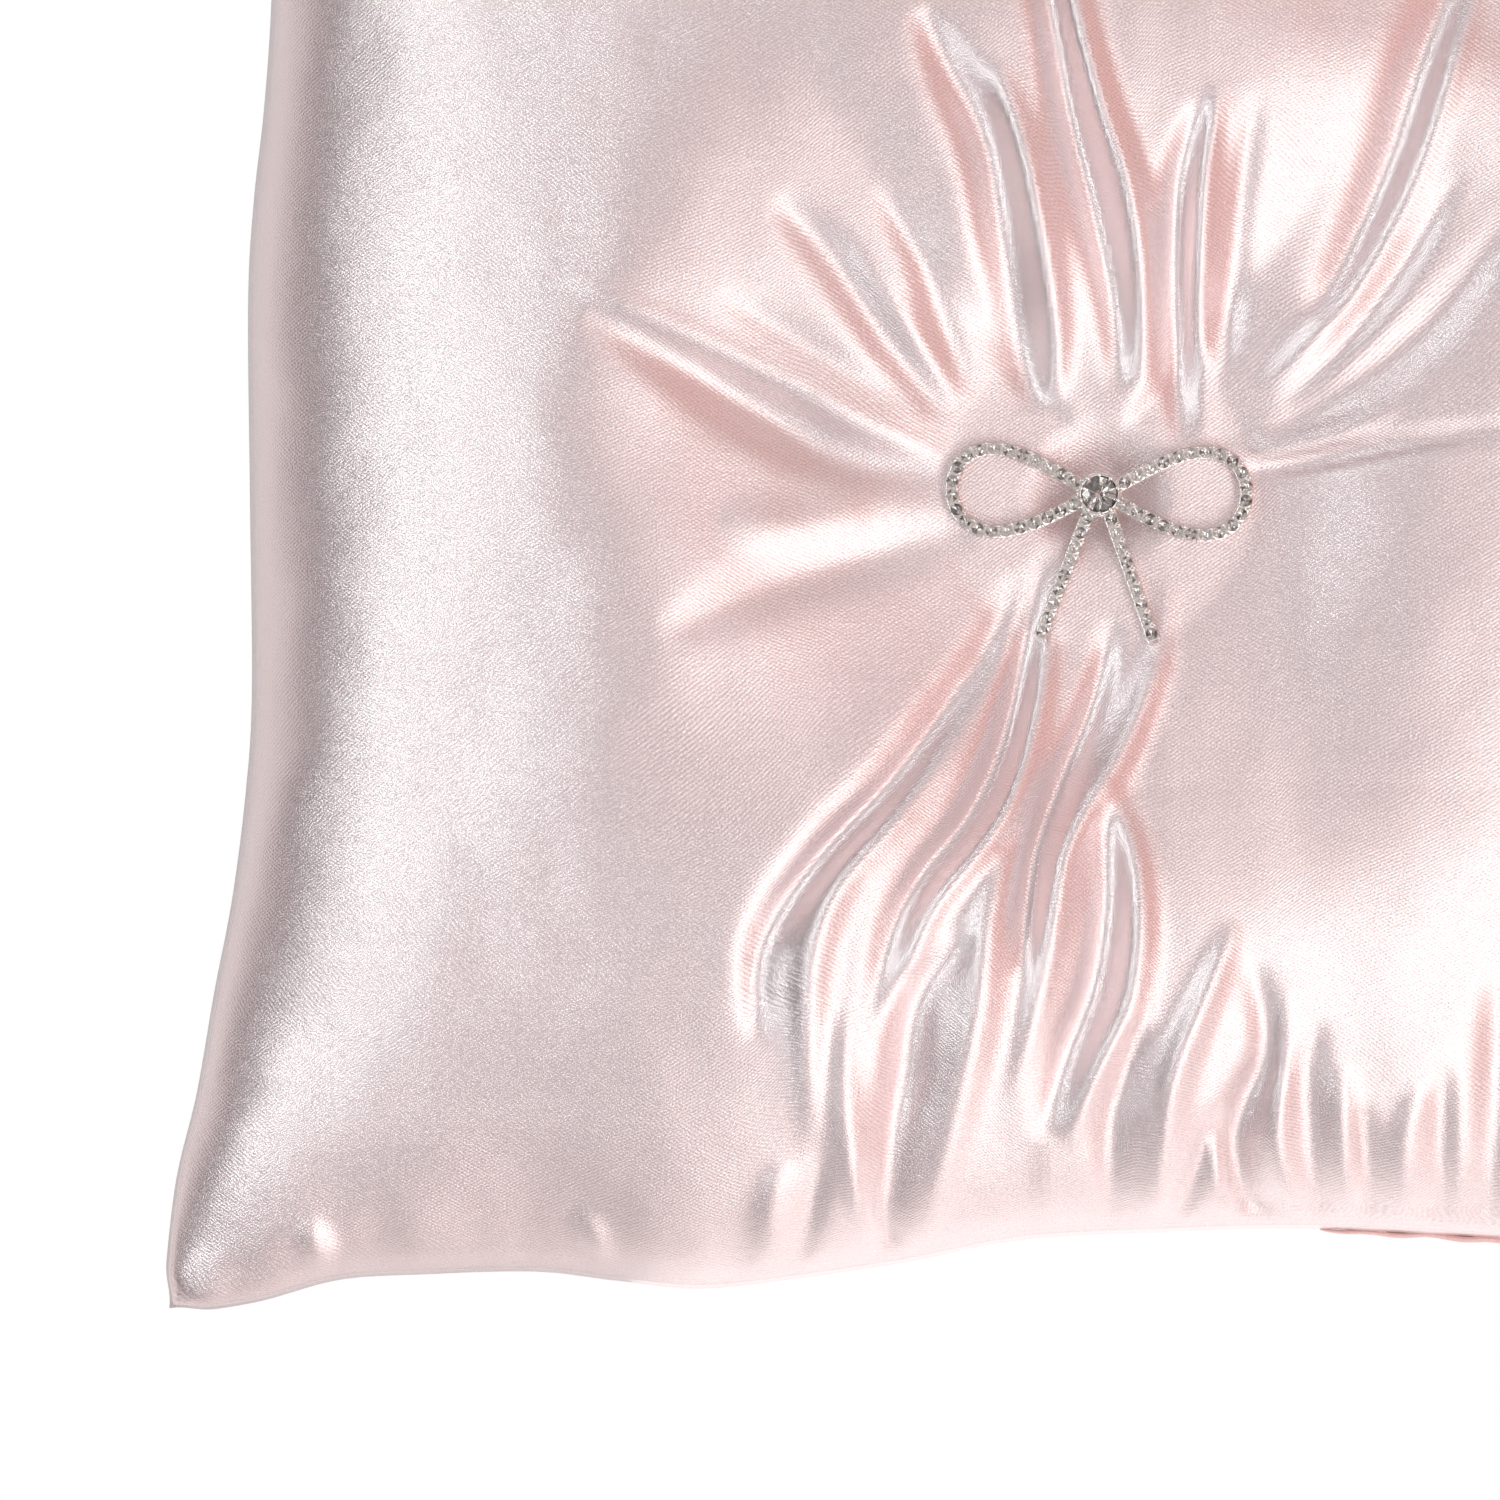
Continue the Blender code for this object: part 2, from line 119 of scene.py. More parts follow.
# Sewing
OPENING = (0.62, 0.92)
SEAM_INSET_MM = 1.1
STITCH_MM = 2.5
LADDER_STITCHES = 18
TWINE_RADIUS_MM = 0.3
BUTTON_HOLE_MM = 0.8
BUTTON_HOLE_SPREAD_MM = 1.05
FILLING_SHRINK = 0.985
EDGE_PULL_MM = 0.28  # how far the hand stitches pull the folded edge out
EDGE_RADIUS_MM = 0.34
KNIT_MM = (0.7, 0.42)  # the cloth's repeat, across and along

# The bow's middle lines, as the frame's solids have them
BOW_TILT = math.radians(-1)
LOOP_CENTRE_MM = 7.9
LOOP_REACH_MM = 7.6
LOOP_SWELL_MM = 6.1
LOOP_TAPER = 1.4
LOOP_RISE = 0.02
LOOP_START = math.radians(38)
TAIL_ROOT_MM = (0.95, -1.6)
TAIL_TIP_MM = (6.0, -15.3)
BAND_WIDTH_MM = 1.5
KNOT_RADIUS_MM = 2.4
CRYSTALS_FROM_KNOT_MM = 2.95
TAIL_END_MARGIN_MM = 0.75
LOOP_CRYSTALS = 22
TAIL_CRYSTALS = 9
CRYSTAL_RADIUS_MM = 0.66
PRONG_RADIUS_MM = 0.2
DULL_CRYSTAL_MM = (-13.4, -14.9)  # all its back facets take the dark foil shade
CUP_BEADS = 10
SHANK_WIRE_MM = 0.4

# Folds of the front, listed one by one: the middle line, the half width at mid length, and the height
FOLDS = (
    # above the bow
    (((-19, 39), (-16, 33), (-12, 25), (-10, 14), (-8, 4), (-6.6, -3)), 2.4, -2.6),
    (((-11, 33), (-9, 27), (-7.3, 21), (-5.6, 12), (-4.6, 4), (-5, -3)), 1.6, 1.9),
    (((-8.5, 56), (-7, 48), (-5, 38), (-3, 27), (-0.5, 17), (1.5, 8), (2, -1)), 1.8, -2.6),
    (((-5.5, 53), (-3, 40), (0, 29), (3, 20), (4.3, 10), (4.5, -1)), 1.5, 2.1),
    (((10.5, 29), (8.4, 21), (8, 12), (8, 3), (8.8, -7)), 1.7, -2.3),
    (((12.5, 31), (10.8, 20), (10.4, 8), (11.4, -6)), 1.2, 1.5),
    (((16.5, 30), (15, 21), (13.8, 10), (13.5, 0)), 1.4, -0.8),
    (((41, 54), (38, 44), (34, 34), (31, 24), (27, 14), (23, 6)), 2.8, -2.6),
    (((41, 48), (37, 34), (33, 22), (28.6, 13), (24, 6), (17, -1)), 1.6, 1.5),
    (((38, 22), (32, 12), (26, 4), (19, -3)), 1.3, -0.8),
    (((44, 18), (35, 6), (26, -1), (18, -6)), 2.4, -1.0),
    # to its right
    (((14, -9.8), (22, -8.6), (32, -6.6), (47, -4.6)), 1.1, -1.4),
    (((13, -7.6), (22, -6.2), (32, -2.8)), 1.1, 0.8),
    # to its left
    (((-34, 19), (-29, 14), (-25, 8.5), (-21, 2.5), (-15.5, -4)), 2.3, -1.4),
    (((-26, 14), (-22.5, 8.5), (-18, 2), (-15, -3)), 1.3, 0.6),
    (((-23, 20), (-19, 13), (-16.5, 6), (-13.5, -1)), 1.6, -0.9),
    (((-40, 9), (-33, 5), (-27, 1.5), (-20, -3)), 1.5, -0.6),
    (((-56, 11), (-44, 5), (-34, 0), (-26, -4), (-16, -8.4)), 1.6, 0.9),
    (((-54, 7), (-43, 1), (-34, -4.2), (-26, -8.2), (-15, -10.5)), 3.0, -2.2),
    (((-40, -15), (-32, -15.4), (-24, -14.4)), 2.6, 0.7),
    (((-46, -27), (-38, -23), (-30, -20), (-22, -18), (-13, -16)), 3.0, -1.3),
    # below it
    (
        (
            (-8, -20), (-12, -28.5), (-16, -35), (-21.5, -42.5),
            (-28, -49), (-33, -55), (-35.8, -61), (-35.8, -70),
        ),
        2.1, -2.7,
    ),
    (((-12, -29), (-16.6, -38), (-22, -46), (-27.2, -52.5), (-30, -60), (-30.6, -69), (-30, -80)), 2.0, 1.9),
    (
        (
            (-5.5, -18), (-7.5, -27), (-9, -34), (-10.8, -40),
            (-14, -46.5), (-18.6, -52), (-21.8, -58), (-24.4, -68),
        ),
        1.9, -2.8,
    ),
    (((-5, -24), (-6.4, -34), (-9, -43.5), (-12.8, -49.5), (-17.5, -55.5), (-20.5, -63)), 1.4, 1.9),
    (((-9.6, -49), (-11.6, -57), (-12.6, -66), (-14.4, -75), (-18.5, -93)), 2.2, 1.8),
    (((1.6, -25), (-0.6, -34), (-4.4, -43), (-6.7, -50), (-7.8, -57), (-8, -62)), 1.5, -2.5),
    (
        ((7.5, -21), (6, -30), (2.4, -39), (-1.2, -44.8), (-3.6, -50), (-4.8, -57), (-6.4, -65), (-9, -76)),
        1.6, 2.0,
    ),
    (((0.6, -46), (0.7, -56), (-0.6, -64), (-3.2, -71), (-6, -80)), 2.0, -2.7),
    (((0.8, -42), (3.6, -50), (4.2, -58), (3, -66), (-0.6, -74), (-3, -81)), 1.5, 1.6),
    (((-13.5, -58), (-18.8, -65), (-20.5, -74), (-21.6, -81), (-23, -100)), 2.3, -2.7),
    (((-26.6, -66), (-26.6, -77), (-24.8, -86), (-18, -101)), 1.5, 1.2),
    (((4.4, -67), (2.6, -74), (1.4, -80), (2, -93)), 1.8, -1.7),
    (((14.5, -57), (10.8, -66), (8, -73.5), (7, -81), (5.4, -99)), 1.8, 2.2),
    (((16, -61), (17.8, -70), (15.6, -76), (14.6, -80.5), (16, -86), (20.5, -90), (25, -95)), 2.1, -2.8),
    (((19.6, -64), (19.2, -76), (19.6, -83), (26, -98)), 1.1, 1.1),
    (((12.5, -76), (10, -85), (5.5, -98)), 1.2, -1.4),
    (((12, -79), (13.4, -85), (17.5, -98)), 0.9, 1.0),
    (((23, -67), (22.2, -77), (25, -98)), 1.6, -1.1),
    (((25.6, -72), (26, -80), (27.4, -97)), 1.3, 1.0),
    (((27.8, -76), (28.6, -83), (30, -98)), 1.2, -0.9),
    (((34, -74), (32.6, -82), (33.4, -98)), 1.5, 0.9),
    (((36.5, -72), (36.4, -81), (37.4, -98)), 1.3, -1.0),
    (((42, -62), (42, -75), (41, -99)), 2.2, -1.5),
    (((49, -70), (46.5, -80), (47.8, -98)), 1.9, 0.9),
    (((-29, -81), (-30.4, -88), (-33, -102)), 1.3, -1.0),
    (((-33, -82), (-34.4, -88), (-36, -102)), 1.5, 0.9),
    (((-25, -82), (-22.6, -89), (-16, -100)), 1.0, -0.9),
    (((-84, -88.5), (-82.6, -92), (-82.2, -95)), 1.5, 0.9),
    (((-54.8, -87.5), (-53.2, -91), (-52.6, -94)), 1.5, 0.9),
    # right of what hangs under the bow, and round the far side
    (((47, -46), (54, -52), (60, -55)), 2.6, -1.1),
    (((46, -34), (56, -38), (66, -39)), 2.8, 0.8),
    (((46, -20), (55, -20), (68, -17)), 2.8, -1.2),
    (((46, -11), (56, -9), (66, -4)), 2.6, 0.8),
    (((45, 10), (55, 16), (66, 26)), 2.8, -1.4),
    (((44, 26), (52, 38), (58, 52)), 2.6, 0.9),
    (((42, 44), (46, 56), (48, 66)), 2.6, -1.2),
    (((20, 44), (22, 54), (23, 66)), 2.8, 0.9),
    (((7, 44), (9, 55), (8, 70)), 2.6, -1.3),
    (((-15, 46), (-19, 57), (-22, 68)), 3.0, 0.9),
    (((-40, 46), (-48, 55), (-54, 62)), 3.2, -0.8),
    (((56, -74), (58, -82), (57, -90)), 2.0, -1.1),
    (((70, -79), (71, -86), (70, -92)), 1.8, 0.8),
    (((86, -20), (80, -18), (74, -19)), 2.4, -0.9),
    (((86, 30), (79, 27), (72, 27)), 2.6, 0.9),
    (((20, 86), (18, 79), (18, 70)), 2.4, -1.0),
    (((-34, 87), (-33, 80), (-31, 72)), 2.6, 0.9),
    (((52, 88), (49, 82), (46, 75)), 2.2, -0.9),
)


def smooth_line(points, count):
    """Places along a smooth curve through the points."""
    points = np.array(points, float)
    ends = np.vstack([2 * points[0] - points[1], points, 2 * points[-1] - points[-2]])
    spans = len(points) - 1
    t = np.linspace(0, spans, count)
    span = np.minimum(t.astype(int), spans - 1)
    t = (t - span)[:, None]
    a, b, c, d = (ends[span + k] for k in range(4))
    return 0.5 * (2 * b + (c - a) * t + (2 * a - 5 * b + 4 * c - d) * t**2 + (3 * b - a - 3 * c + d) * t**3)


def ease(share):
    share = np.clip(share, 0, 1)
    return share * share * (3 - 2 * share)


def near(distance, inner, outer):
    """1 within the inner distance, falling smoothly to 0 at the outer one."""
    return ease((outer - distance) / (outer - inner))


def ripple(x, y, wavelength, waves=7, phase=0.0):
    """A smooth uneven surface between about -1 and 1: waves that run in many directions."""
    total = 0
    for k in range(waves):
        heading = 2.399963 * k + phase
        pitch = wavelength * (0.75 + 0.5 * ((0.618034 * (k + 1)) % 1))
        turn = 2 * math.pi / pitch
        total = total + np.sin(turn * (x * math.cos(heading) + y * math.sin(heading)) + 3.7 * k + phase)
    return total / math.sqrt(2 * waves)


def mesh_object(name, points, faces, smooth=True):
    mesh = bpy.data.meshes.new(name)
    mesh.from_pydata([tuple(p) for p in points], [], faces)
    mesh.update()
    if smooth:
        mesh.shade_smooth()
    obj = bpy.data.objects.new(name, mesh)
    bpy.context.scene.collection.objects.link(obj)
    return obj


# Cushion


def side_reach(side, place):
    line = smooth_line(SIDES_MM[side], 400)
    return np.interp(place, line[:, 0], line[:, 1])


def spread_evenly(count):
    """Grid lines from -1 to 1, closer together near both ends."""
    t = np.linspace(-1, 1, count)
    return 0.8 * t + 0.2 * np.sin(t * math.pi / 2)


def plan(u, v):
    """Places in mm of the points of a flat square of cloth whose sides are drawn in."""
    x = ((1 + u) * side_reach("right", v * 100) - (1 - u) * side_reach("left", v * 100)) / 2
    y = ((1 + v) * side_reach("top", u * 100) - (1 - v) * side_reach("bottom", u * 100)) / 2
    corner = ease((np.abs(u) + np.abs(v) - 2 + CORNER_ROUNDING) / CORNER_ROUNDING)
    pull = 1 - corner * CORNER_CUT_MM / 100
    return x * pull, y * pull


def fullness(u, v):
    return (np.clip(1 - u * u, 0, 1) * np.clip(1 - v * v, 0, 1)) ** PLUMPNESS


def fold_relief(x, y):
    """Height in mm of all the folds at each place."""
    relief = np.zeros_like(x)
    for line, half_width, height in FOLDS:
        spine = smooth_line(line, 20)
        low, high = spine.min(0) - 3 * half_width, spine.max(0) + 3 * half_width
        close = (x > low[0]) & (x < high[0]) & (y > low[1]) & (y < high[1])
        px, py = x[close], y[close]
        best = np.full(px.shape, 1e9)
        along = np.zeros_like(px)
        for i, (start, end) in enumerate(zip(spine, spine[1:])):
            step = end - start
            share = np.clip(((px - start[0]) * step[0] + (py - start[1]) * step[1]) / (step @ step), 0, 1)
            distance = (px - start[0] - share * step[0]) ** 2 + (py - start[1] - share * step[1]) ** 2
            closer = distance < best
            best = np.where(closer, distance, best)
            along = np.where(closer, (i + share) / (len(spine) - 1), along)
        taper = np.sin(math.pi * np.clip(along, 0, 1)) ** 0.75
        relief[close] += height * taper * np.exp(-best / (half_width * (0.55 + 0.45 * taper)) ** 2)
    return relief


def edge_puckers(u, v, x, y):
    """Small gathers of the cloth where it turns in at the seam."""
    from_side, from_end = 1 - np.abs(u), 1 - np.abs(v)
    inside = np.minimum(from_side, from_end) * 95
    along = np.where(from_side < from_end, y, x)
    gathers = ripple(along, along * 0.4, PUCKER_PITCH_MM) * 0.5
    gathers = gathers + ripple(along, 40 + inside, PUCKER_PITCH_MM * 2.3)
    return PUCKER_HEIGHT_MM * gathers * ease(inside / 1.5) * np.exp(-((inside / PUCKER_REACH_MM) ** 2))


def above_knot(x, y):
    """1 straight above the knot, where the turning bow never reaches, and 0 elsewhere."""
    distance = np.hypot(x - TUFT_MM[0], y - TUFT_MM[1])
    return ease(((y - TUFT_MM[1]) / np.maximum(distance, 1e-6) - 0.8) / 0.16)


def dimple_distance(x, y):
    """Distance from the tuft, drawn longer and shorter so that the hollow isn't a plain circle."""
    distance = np.hypot(x - TUFT_MM[0], y - TUFT_MM[1])
    wander = ripple(x, y, 46, phase=1.3) * DIMPLE_WANDER_MM
    return distance + wander * ease((distance - 12) / 20) + above_knot(x, y) * BULGE_MM * ease(distance / 9)


def soft_excess(excess, softness):
    """What to take off a height that is this far over its limit, with a smooth start."""
    return softness * np.log1p(np.exp(np.clip(excess / softness, -30, 30)))


def front_height(u, v, x, y):
    distance = np.hypot(x - TUFT_MM[0], y - TUFT_MM[1])
    dome = SEAM_MM + COVER_GAP_MM + FRONT_RISE_MM * fullness(u, v)
    floor = DIMPLE_FLOOR_MM - PIT_DEPTH_MM * near(distance, *PIT_RADIUS_MM)
    dip = near(dimple_distance(x, y), DIMPLE_FLOOR_RADIUS_MM, DIMPLE_RADIUS_MM)
    edge = ease(np.minimum(1 - np.abs(u), 1 - np.abs(v)) / FOLD_EDGE)
    away = 1 - near(distance, *PIT_RADIUS_MM)
    softness = LUMP_MM * ripple(x, y, 27) + CREASE_MM * ripple(x, y, 9, waves=11, phase=0.7)
    relief = (fold_relief(x, y) + softness) * edge * away
    height = dome + (floor - dome) * dip + relief + edge_puckers(u, v, x, y)
    sweep_reach = BOW_SWEEP_MM - BULGE_MM * above_knot(x, y)
    ceiling = BOW_BACK_MM - BOW_CLEARANCE_MM + np.maximum(distance - sweep_reach, 0) * CEILING_SLOPE
    return height - soft_excess(height - ceiling, CEILING_SOFTNESS_MM)


def back_height(u, v, x, y):
    distance = np.hypot(x - TUFT_MM[0], y - TUFT_MM[1])
    bulge = BACK_BULGE_MM * fullness(u, v)
    angle = np.arctan2(y - TUFT_MM[1], x - TUFT_MM[0])
    spokes = np.sin(9 * angle + 0.8 * np.sin(2 * angle)) * 0.35 + np.sin(14 * angle + 1) * 0.2
    gathers = spokes * near(distance, 16, 40) * ease((distance - 7) / 6)
    rise = SEAM_MM - COVER_GAP_MM - bulge - edge_puckers(u, v, x + 31, y + 17)
    dome = np.maximum(0.02, rise)
    return dome + (RECESS_FLOOR_MM + gathers - dome) * near(distance, *RECESS_RADIUS_MM)


def lining(x, y, z, outward):
    """A coarse grid of points just inside a cover's outer surface, clear of all its folds."""
    cells = len(x) - 1
    m = cells // LINING_STEP + 1
    points = np.zeros((m, m, 3))
    points[..., 0] = x[::LINING_STEP, ::LINING_STEP] * LINING_SHRINK
    points[..., 1] = y[::LINING_STEP, ::LINING_STEP] * LINING_SHRINK
    for row in range(m):
        rows = slice(max(LINING_STEP * (row - 1), 0), LINING_STEP * (row + 1) + 1)
        for column in range(m):
            columns = slice(max(LINING_STEP * (column - 1), 0), LINING_STEP * (column + 1) + 1)
            block = z[rows, columns]
            points[row, column, 2] = (block.min() if outward > 0 else block.max()) - outward * CLOTH_MM
    for side in (points[0], points[-1], points[:, 0], points[:, -1]):
        side[:, 2] = SEAM_MM + outward * CLOTH_MM
    return points


def rim_of(cells):
    """The rows and columns of the points round a grid's rim."""
    out, back = range(cells), range(cells, 0, -1)
    rim = [(0, i) for i in out] + [(i, cells) for i in out]
    return rim + [(cells, i) for i in back] + [(i, 0) for i in back]


def grid_faces(cells, first=0):
    """The squares of a grid of points, all facing up."""
    n = cells + 1
    corners = [first + row * n + column for row in range(cells) for column in range(cells)]
    return [(a, a + 1, a + n + 1, a + n) for a in corners]


def turned_edge_faces(outer, turned, inner):
    """Faces from the outer surface's rim to the turned-in edge, and on to the lining's coarser rim."""
    faces = []
    count, half = len(turned), LINING_STEP // 2
    for i in range(count):
        j = (i + 1) % count
        faces.append((outer[j], outer[i], turned[i], turned[j]))
    for i, a in enumerate(inner):
        b = inner[(i + 1) % len(inner)]
        fan = [turned[(LINING_STEP * i + s) % count] for s in range(LINING_STEP + 1)]
        faces += [(fan[s + 1], fan[s], a) for s in range(half)]
        faces.append((b, fan[half], a))
        faces += [(fan[s + 1], fan[s], b) for s in range(half, LINING_STEP)]
    return faces


def cloth_lengths(places):
    """Lengths in mm along the cloth to each point, across and up from its middle lines."""
    s = np.cumsum(np.linalg.norm(np.diff(places, axis=1), axis=2), axis=1)
    t = np.cumsum(np.linalg.norm(np.diff(places, axis=0), axis=2), axis=0)
    s, t = np.pad(s, ((0, 0), (1, 0))), np.pad(t, ((1, 0), (0, 0)))
    middle = len(places) // 2
    return np.stack([s - s[:, middle][:, None], t - t[middle][None, :]], -1).reshape(-1, 2)


def cover(name, cells, height, outward):
    """A closed shell of cloth: the outer surface, its turned-in edge and a coarser lining."""
    lines = spread_evenly(cells + 1)
    u, v = np.meshgrid(lines, lines)
    x, y = plan(u, v)
    z = height(u, v, x, y)
    outer = np.stack([x, y, z], -1)
    rim = rim_of(cells)
    edge = np.array([(x[cell], y[cell], SEAM_MM + outward * 0.12) for cell in rim])
    edge[:, :2] *= 1 - TURN_IN_MM / np.maximum(np.hypot(edge[:, 0], edge[:, 1]), 1)[:, None]
    inner = lining(x, y, z, outward)

    n, m, coarse = cells + 1, len(inner), len(inner) - 1
    first_inner = n * n + len(rim)
    outer_rim = [row * n + column for row, column in rim]
    turned_rim = range(n * n, first_inner)
    inner_rim = [first_inner + row * m + column for row, column in rim_of(coarse)]
    faces = grid_faces(cells) + turned_edge_faces(outer_rim, turned_rim, inner_rim)
    faces += [face[::-1] for face in grid_faces(coarse, first_inner)]
    if outward < 0:
        faces = [face[::-1] for face in faces]
    points = np.vstack([outer.reshape(-1, 3), edge, inner.reshape(-1, 3)])
    obj = mesh_object(name, points * MM, faces)

    lengths = cloth_lengths(outer)
    above_lining = [LINING_STEP * (row * n + column) for row in range(m) for column in range(m)]
    cloth = np.vstack([lengths, lengths[outer_rim], lengths[above_lining]])
    layer = obj.data.uv_layers.new(name="cloth")
    corners = np.zeros(len(obj.data.loops), int)
    obj.data.loops.foreach_get("vertex_index", corners)
    layer.data.foreach_set("uv", cloth[corners].astype(np.float32).ravel())
    return obj


def stuffing_parts():
    """The fibre filling: lumpy, a little way inside the covers, down to a thin edge at the seam."""
    lines = spread_evenly(STUFFING_CELLS + 1)
    u, v = np.meshgrid(lines, lines)
    x, y = plan(u, v)
    top = lining(x, y, front_height(u, v, x, y), 1)
    bottom = lining(x, y, back_height(u, v, x, y), -1)
    coarse, fine = ripple(top[..., 0], top[..., 1], 13), ripple(top[..., 0], top[..., 1], 5, phase=2)
    lumps = np.clip(0.9 + 0.55 * coarse + 0.3 * fine, 0.2, 2.2)
    lumps = lumps * ease((top[..., 2] - bottom[..., 2] - 1.5) / 8)
    top[..., 2] -= lumps + 0.3
    bottom[..., 2] += lumps + 0.3
    for grid in (top, bottom):
        grid[..., :2] *= FILLING_SHRINK
    m = len(top)
    points = np.vstack([top.reshape(-1, 3), bottom.reshape(-1, 3)])
    faces = grid_faces(m - 1) + [face[::-1] for face in grid_faces(m - 1, m * m)]
    rim = [row * m + column for row, column in rim_of(m - 1)]
    for a, b in zip(rim, rim[1:] + rim[:1]):
        faces.append((b, a, a + m * m, b + m * m))
    return [(points, faces)]


# Shapes swept and turned


def circle(radius, sides):
    angles = np.arange(sides) * 2 * math.pi / sides
    return np.stack([radius * np.cos(angles), radius * np.sin(angles)], -1)


def directions(line, up, closed):
    """Unit vectors across and up from a line at each of its points."""
    ahead = np.roll(line, -1, 0) if closed else np.vstack([line[1:], line[-1:]])
    behind = np.roll(line, 1, 0) if closed else np.vstack([line[:1], line[:-1]])
    along = ahead - behind
    along /= np.linalg.norm(along, axis=1)[:, None]
    across = np.cross(np.array(up, float), along)
    across /= np.linalg.norm(across, axis=1)[:, None]
    return across, np.cross(along, across)


def rings_of_faces(rings, sides, closed):
    faces = []
    for ring in range(rings if closed else rings - 1):
        after = (ring + 1) % rings
        for side in range(sides):
            beside = (side + 1) % sides
            low, high = ring * sides, after * sides
            faces.append((low + side, low + beside, high + beside, high + side))
    if not closed:
        faces.append(tuple(reversed(range(sides))))
        faces.append(tuple(range((rings - 1) * sides, rings * sides)))
    return faces


def sweep(line, section, up, closed=False):
    """A solid with one section, or one for each point, along a line."""
    line = np.array(line, float)
    across, lift = directions(line, up, closed)
    section = np.broadcast_to(section, (len(line), *np.shape(section)[-2:]))
    points = line[:, None] + section[..., :1] * across[:, None] + section[..., 1:] * lift[:, None]
    return points.reshape(-1, 3), rings_of_faces(len(line), section.shape[1], closed)


def ring_of_points(centre, radius, height, angles):
    return [(centre[0] + radius * math.cos(a), centre[1] + radius * math.sin(a), height) for a in angles]


def lathe(profile, sides, centre):
    """A turned solid from (radius, height) pairs that run up its outside."""
    points = []
    for radius, height in profile:
        points += ring_of_points(centre, radius, height, np.arange(sides) * 2 * math.pi / sides)
    return np.array(points), rings_of_faces(len(profile), sides, False)


def along_line(line, closed=False):
    """A line's points, closed if asked for, and the distance along it at each."""
    line = np.array(line, float)
    if closed:
        line = np.vstack([line, line[:1]])
    return line, np.concatenate([[0], np.cumsum(np.linalg.norm(np.diff(line, axis=0), axis=1))])


def at(line, distances, closed=False):
    """Points at these distances along a line."""
    line, travelled = along_line(line, closed)
    return np.stack([np.interp(distances, travelled, line[:, k]) for k in range(line.shape[1])], -1)


def evenly(line, step, closed=False):
    length = along_line(line, closed)[1][-1]
    count = max(2, round(length / step))
    return at(line, np.linspace(0, length, count, endpoint=not closed), closed)


def twisted(line, up, radius, plies, pitch, closed=False):
    """A thread of several plies that wind round each other along a line."""
    line = evenly(line, pitch / 10, closed)
    across, lift = directions(line, up, closed)
    length = along_line(line, closed)[1][-1]
    turns = max(1, round(length / pitch))
    parts = []
    for ply in range(plies):
        phase = 2 * math.pi * (np.linspace(0, turns, len(line), endpoint=not closed) + ply / plies)
        offset = radius * 0.5
        middle = line + offset * (np.cos(phase)[:, None] * across + np.sin(phase)[:, None] * lift)
        parts.append(sweep(middle, circle(radius * 0.56, 6), up, closed))
    return parts


def make_piece(name, parts, looks, body, nodes, angle=40):
    """One piece from (points, faces) parts, or (points, faces, the look of each face)."""
    points, faces, chosen = [], [], []
    for part in parts:
        first = len(points)
        points.extend(part[0])
        faces.extend(tuple(first + i for i in face) for face in part[1])
        chosen.extend(part[2] if len(part) > 2 else [0] * len(part[1]))
    obj = mesh_object(name, np.array(points) * MM, faces)
    for look in looks:
        obj.data.materials.append(look)
    obj.data.polygons.foreach_set("material_index", chosen)
    obj.data.set_sharp_from_angle(angle=math.radians(angle))
    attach(obj, body)
    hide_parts(*nodes)
    return obj


# Sewing


def outline(along):
    """Places on the outline: along runs from 0 to 4, a side each, from the lower left corner."""
    along = np.asarray(along) % 4
    side = np.minimum(along.astype(int), 3)
    across = 2 * (along - side) - 1
    u = np.choose(side, [across, np.ones_like(across), -across, -np.ones_like(across)])
    v = np.choose(side, [-np.ones_like(across), across, np.ones_like(across), -across])
    return np.stack(plan(u, v), -1)


def on_seam(along, inset):
    """Points on the seam, inset in mm from the outline."""
    places = outline(along)
    reach = np.linalg.norm(places, axis=1)[:, None]
    return np.hstack([places * (1 - inset / reach), np.full((len(places), 1), SEAM_MM)])


def machine_stitch_parts():
    """One thread that dips at the end of each lockstitch, round all but the hand-closed opening."""
    route = on_seam(np.linspace(OPENING[1], 4 + OPENING[0], 1600), SEAM_INSET_MM)
    line = evenly(route, STITCH_MM / 6)
    travelled = along_line(line)[1]
    line[:, 2] += 0.09 * np.abs(np.sin(math.pi * travelled / STITCH_MM))
    swell = 0.13 + 0.05 * np.abs(np.sin(math.pi * travelled / STITCH_MM))
    section = circle(1, 6)[None] * swell[:, None, None]
    return [sweep(line, section, (0, 0, 1))]


def ladder_stitch_parts():
    """The hand stitches that close the opening: rungs between the two folded edges, and a knot."""
    along = np.linspace(OPENING[0] + 0.015, OPENING[1] - 0.015, 2 * LADDER_STITCHES)
    inset = np.where(np.arange(len(along)) // 2 % 2, 0.25, 1.0)
    lift = np.where(np.arange(len(along)) // 2 % 2, 0.22, -0.22)
    points = on_seam(along, inset[:, None])
    points[:, 2] += lift
    line = smooth_line(points, 9 * len(points))
    knot = [(r, SEAM_MM + h) for r, h in ((0.15, -0.35), (0.38, -0.2), (0.42, 0.05), (0.3, 0.3), (0.1, 0.4))]
    return [*twisted(line, (0, 0, 1), 0.2, 2, 0.9), lathe(knot, 10, points[0, :2])]


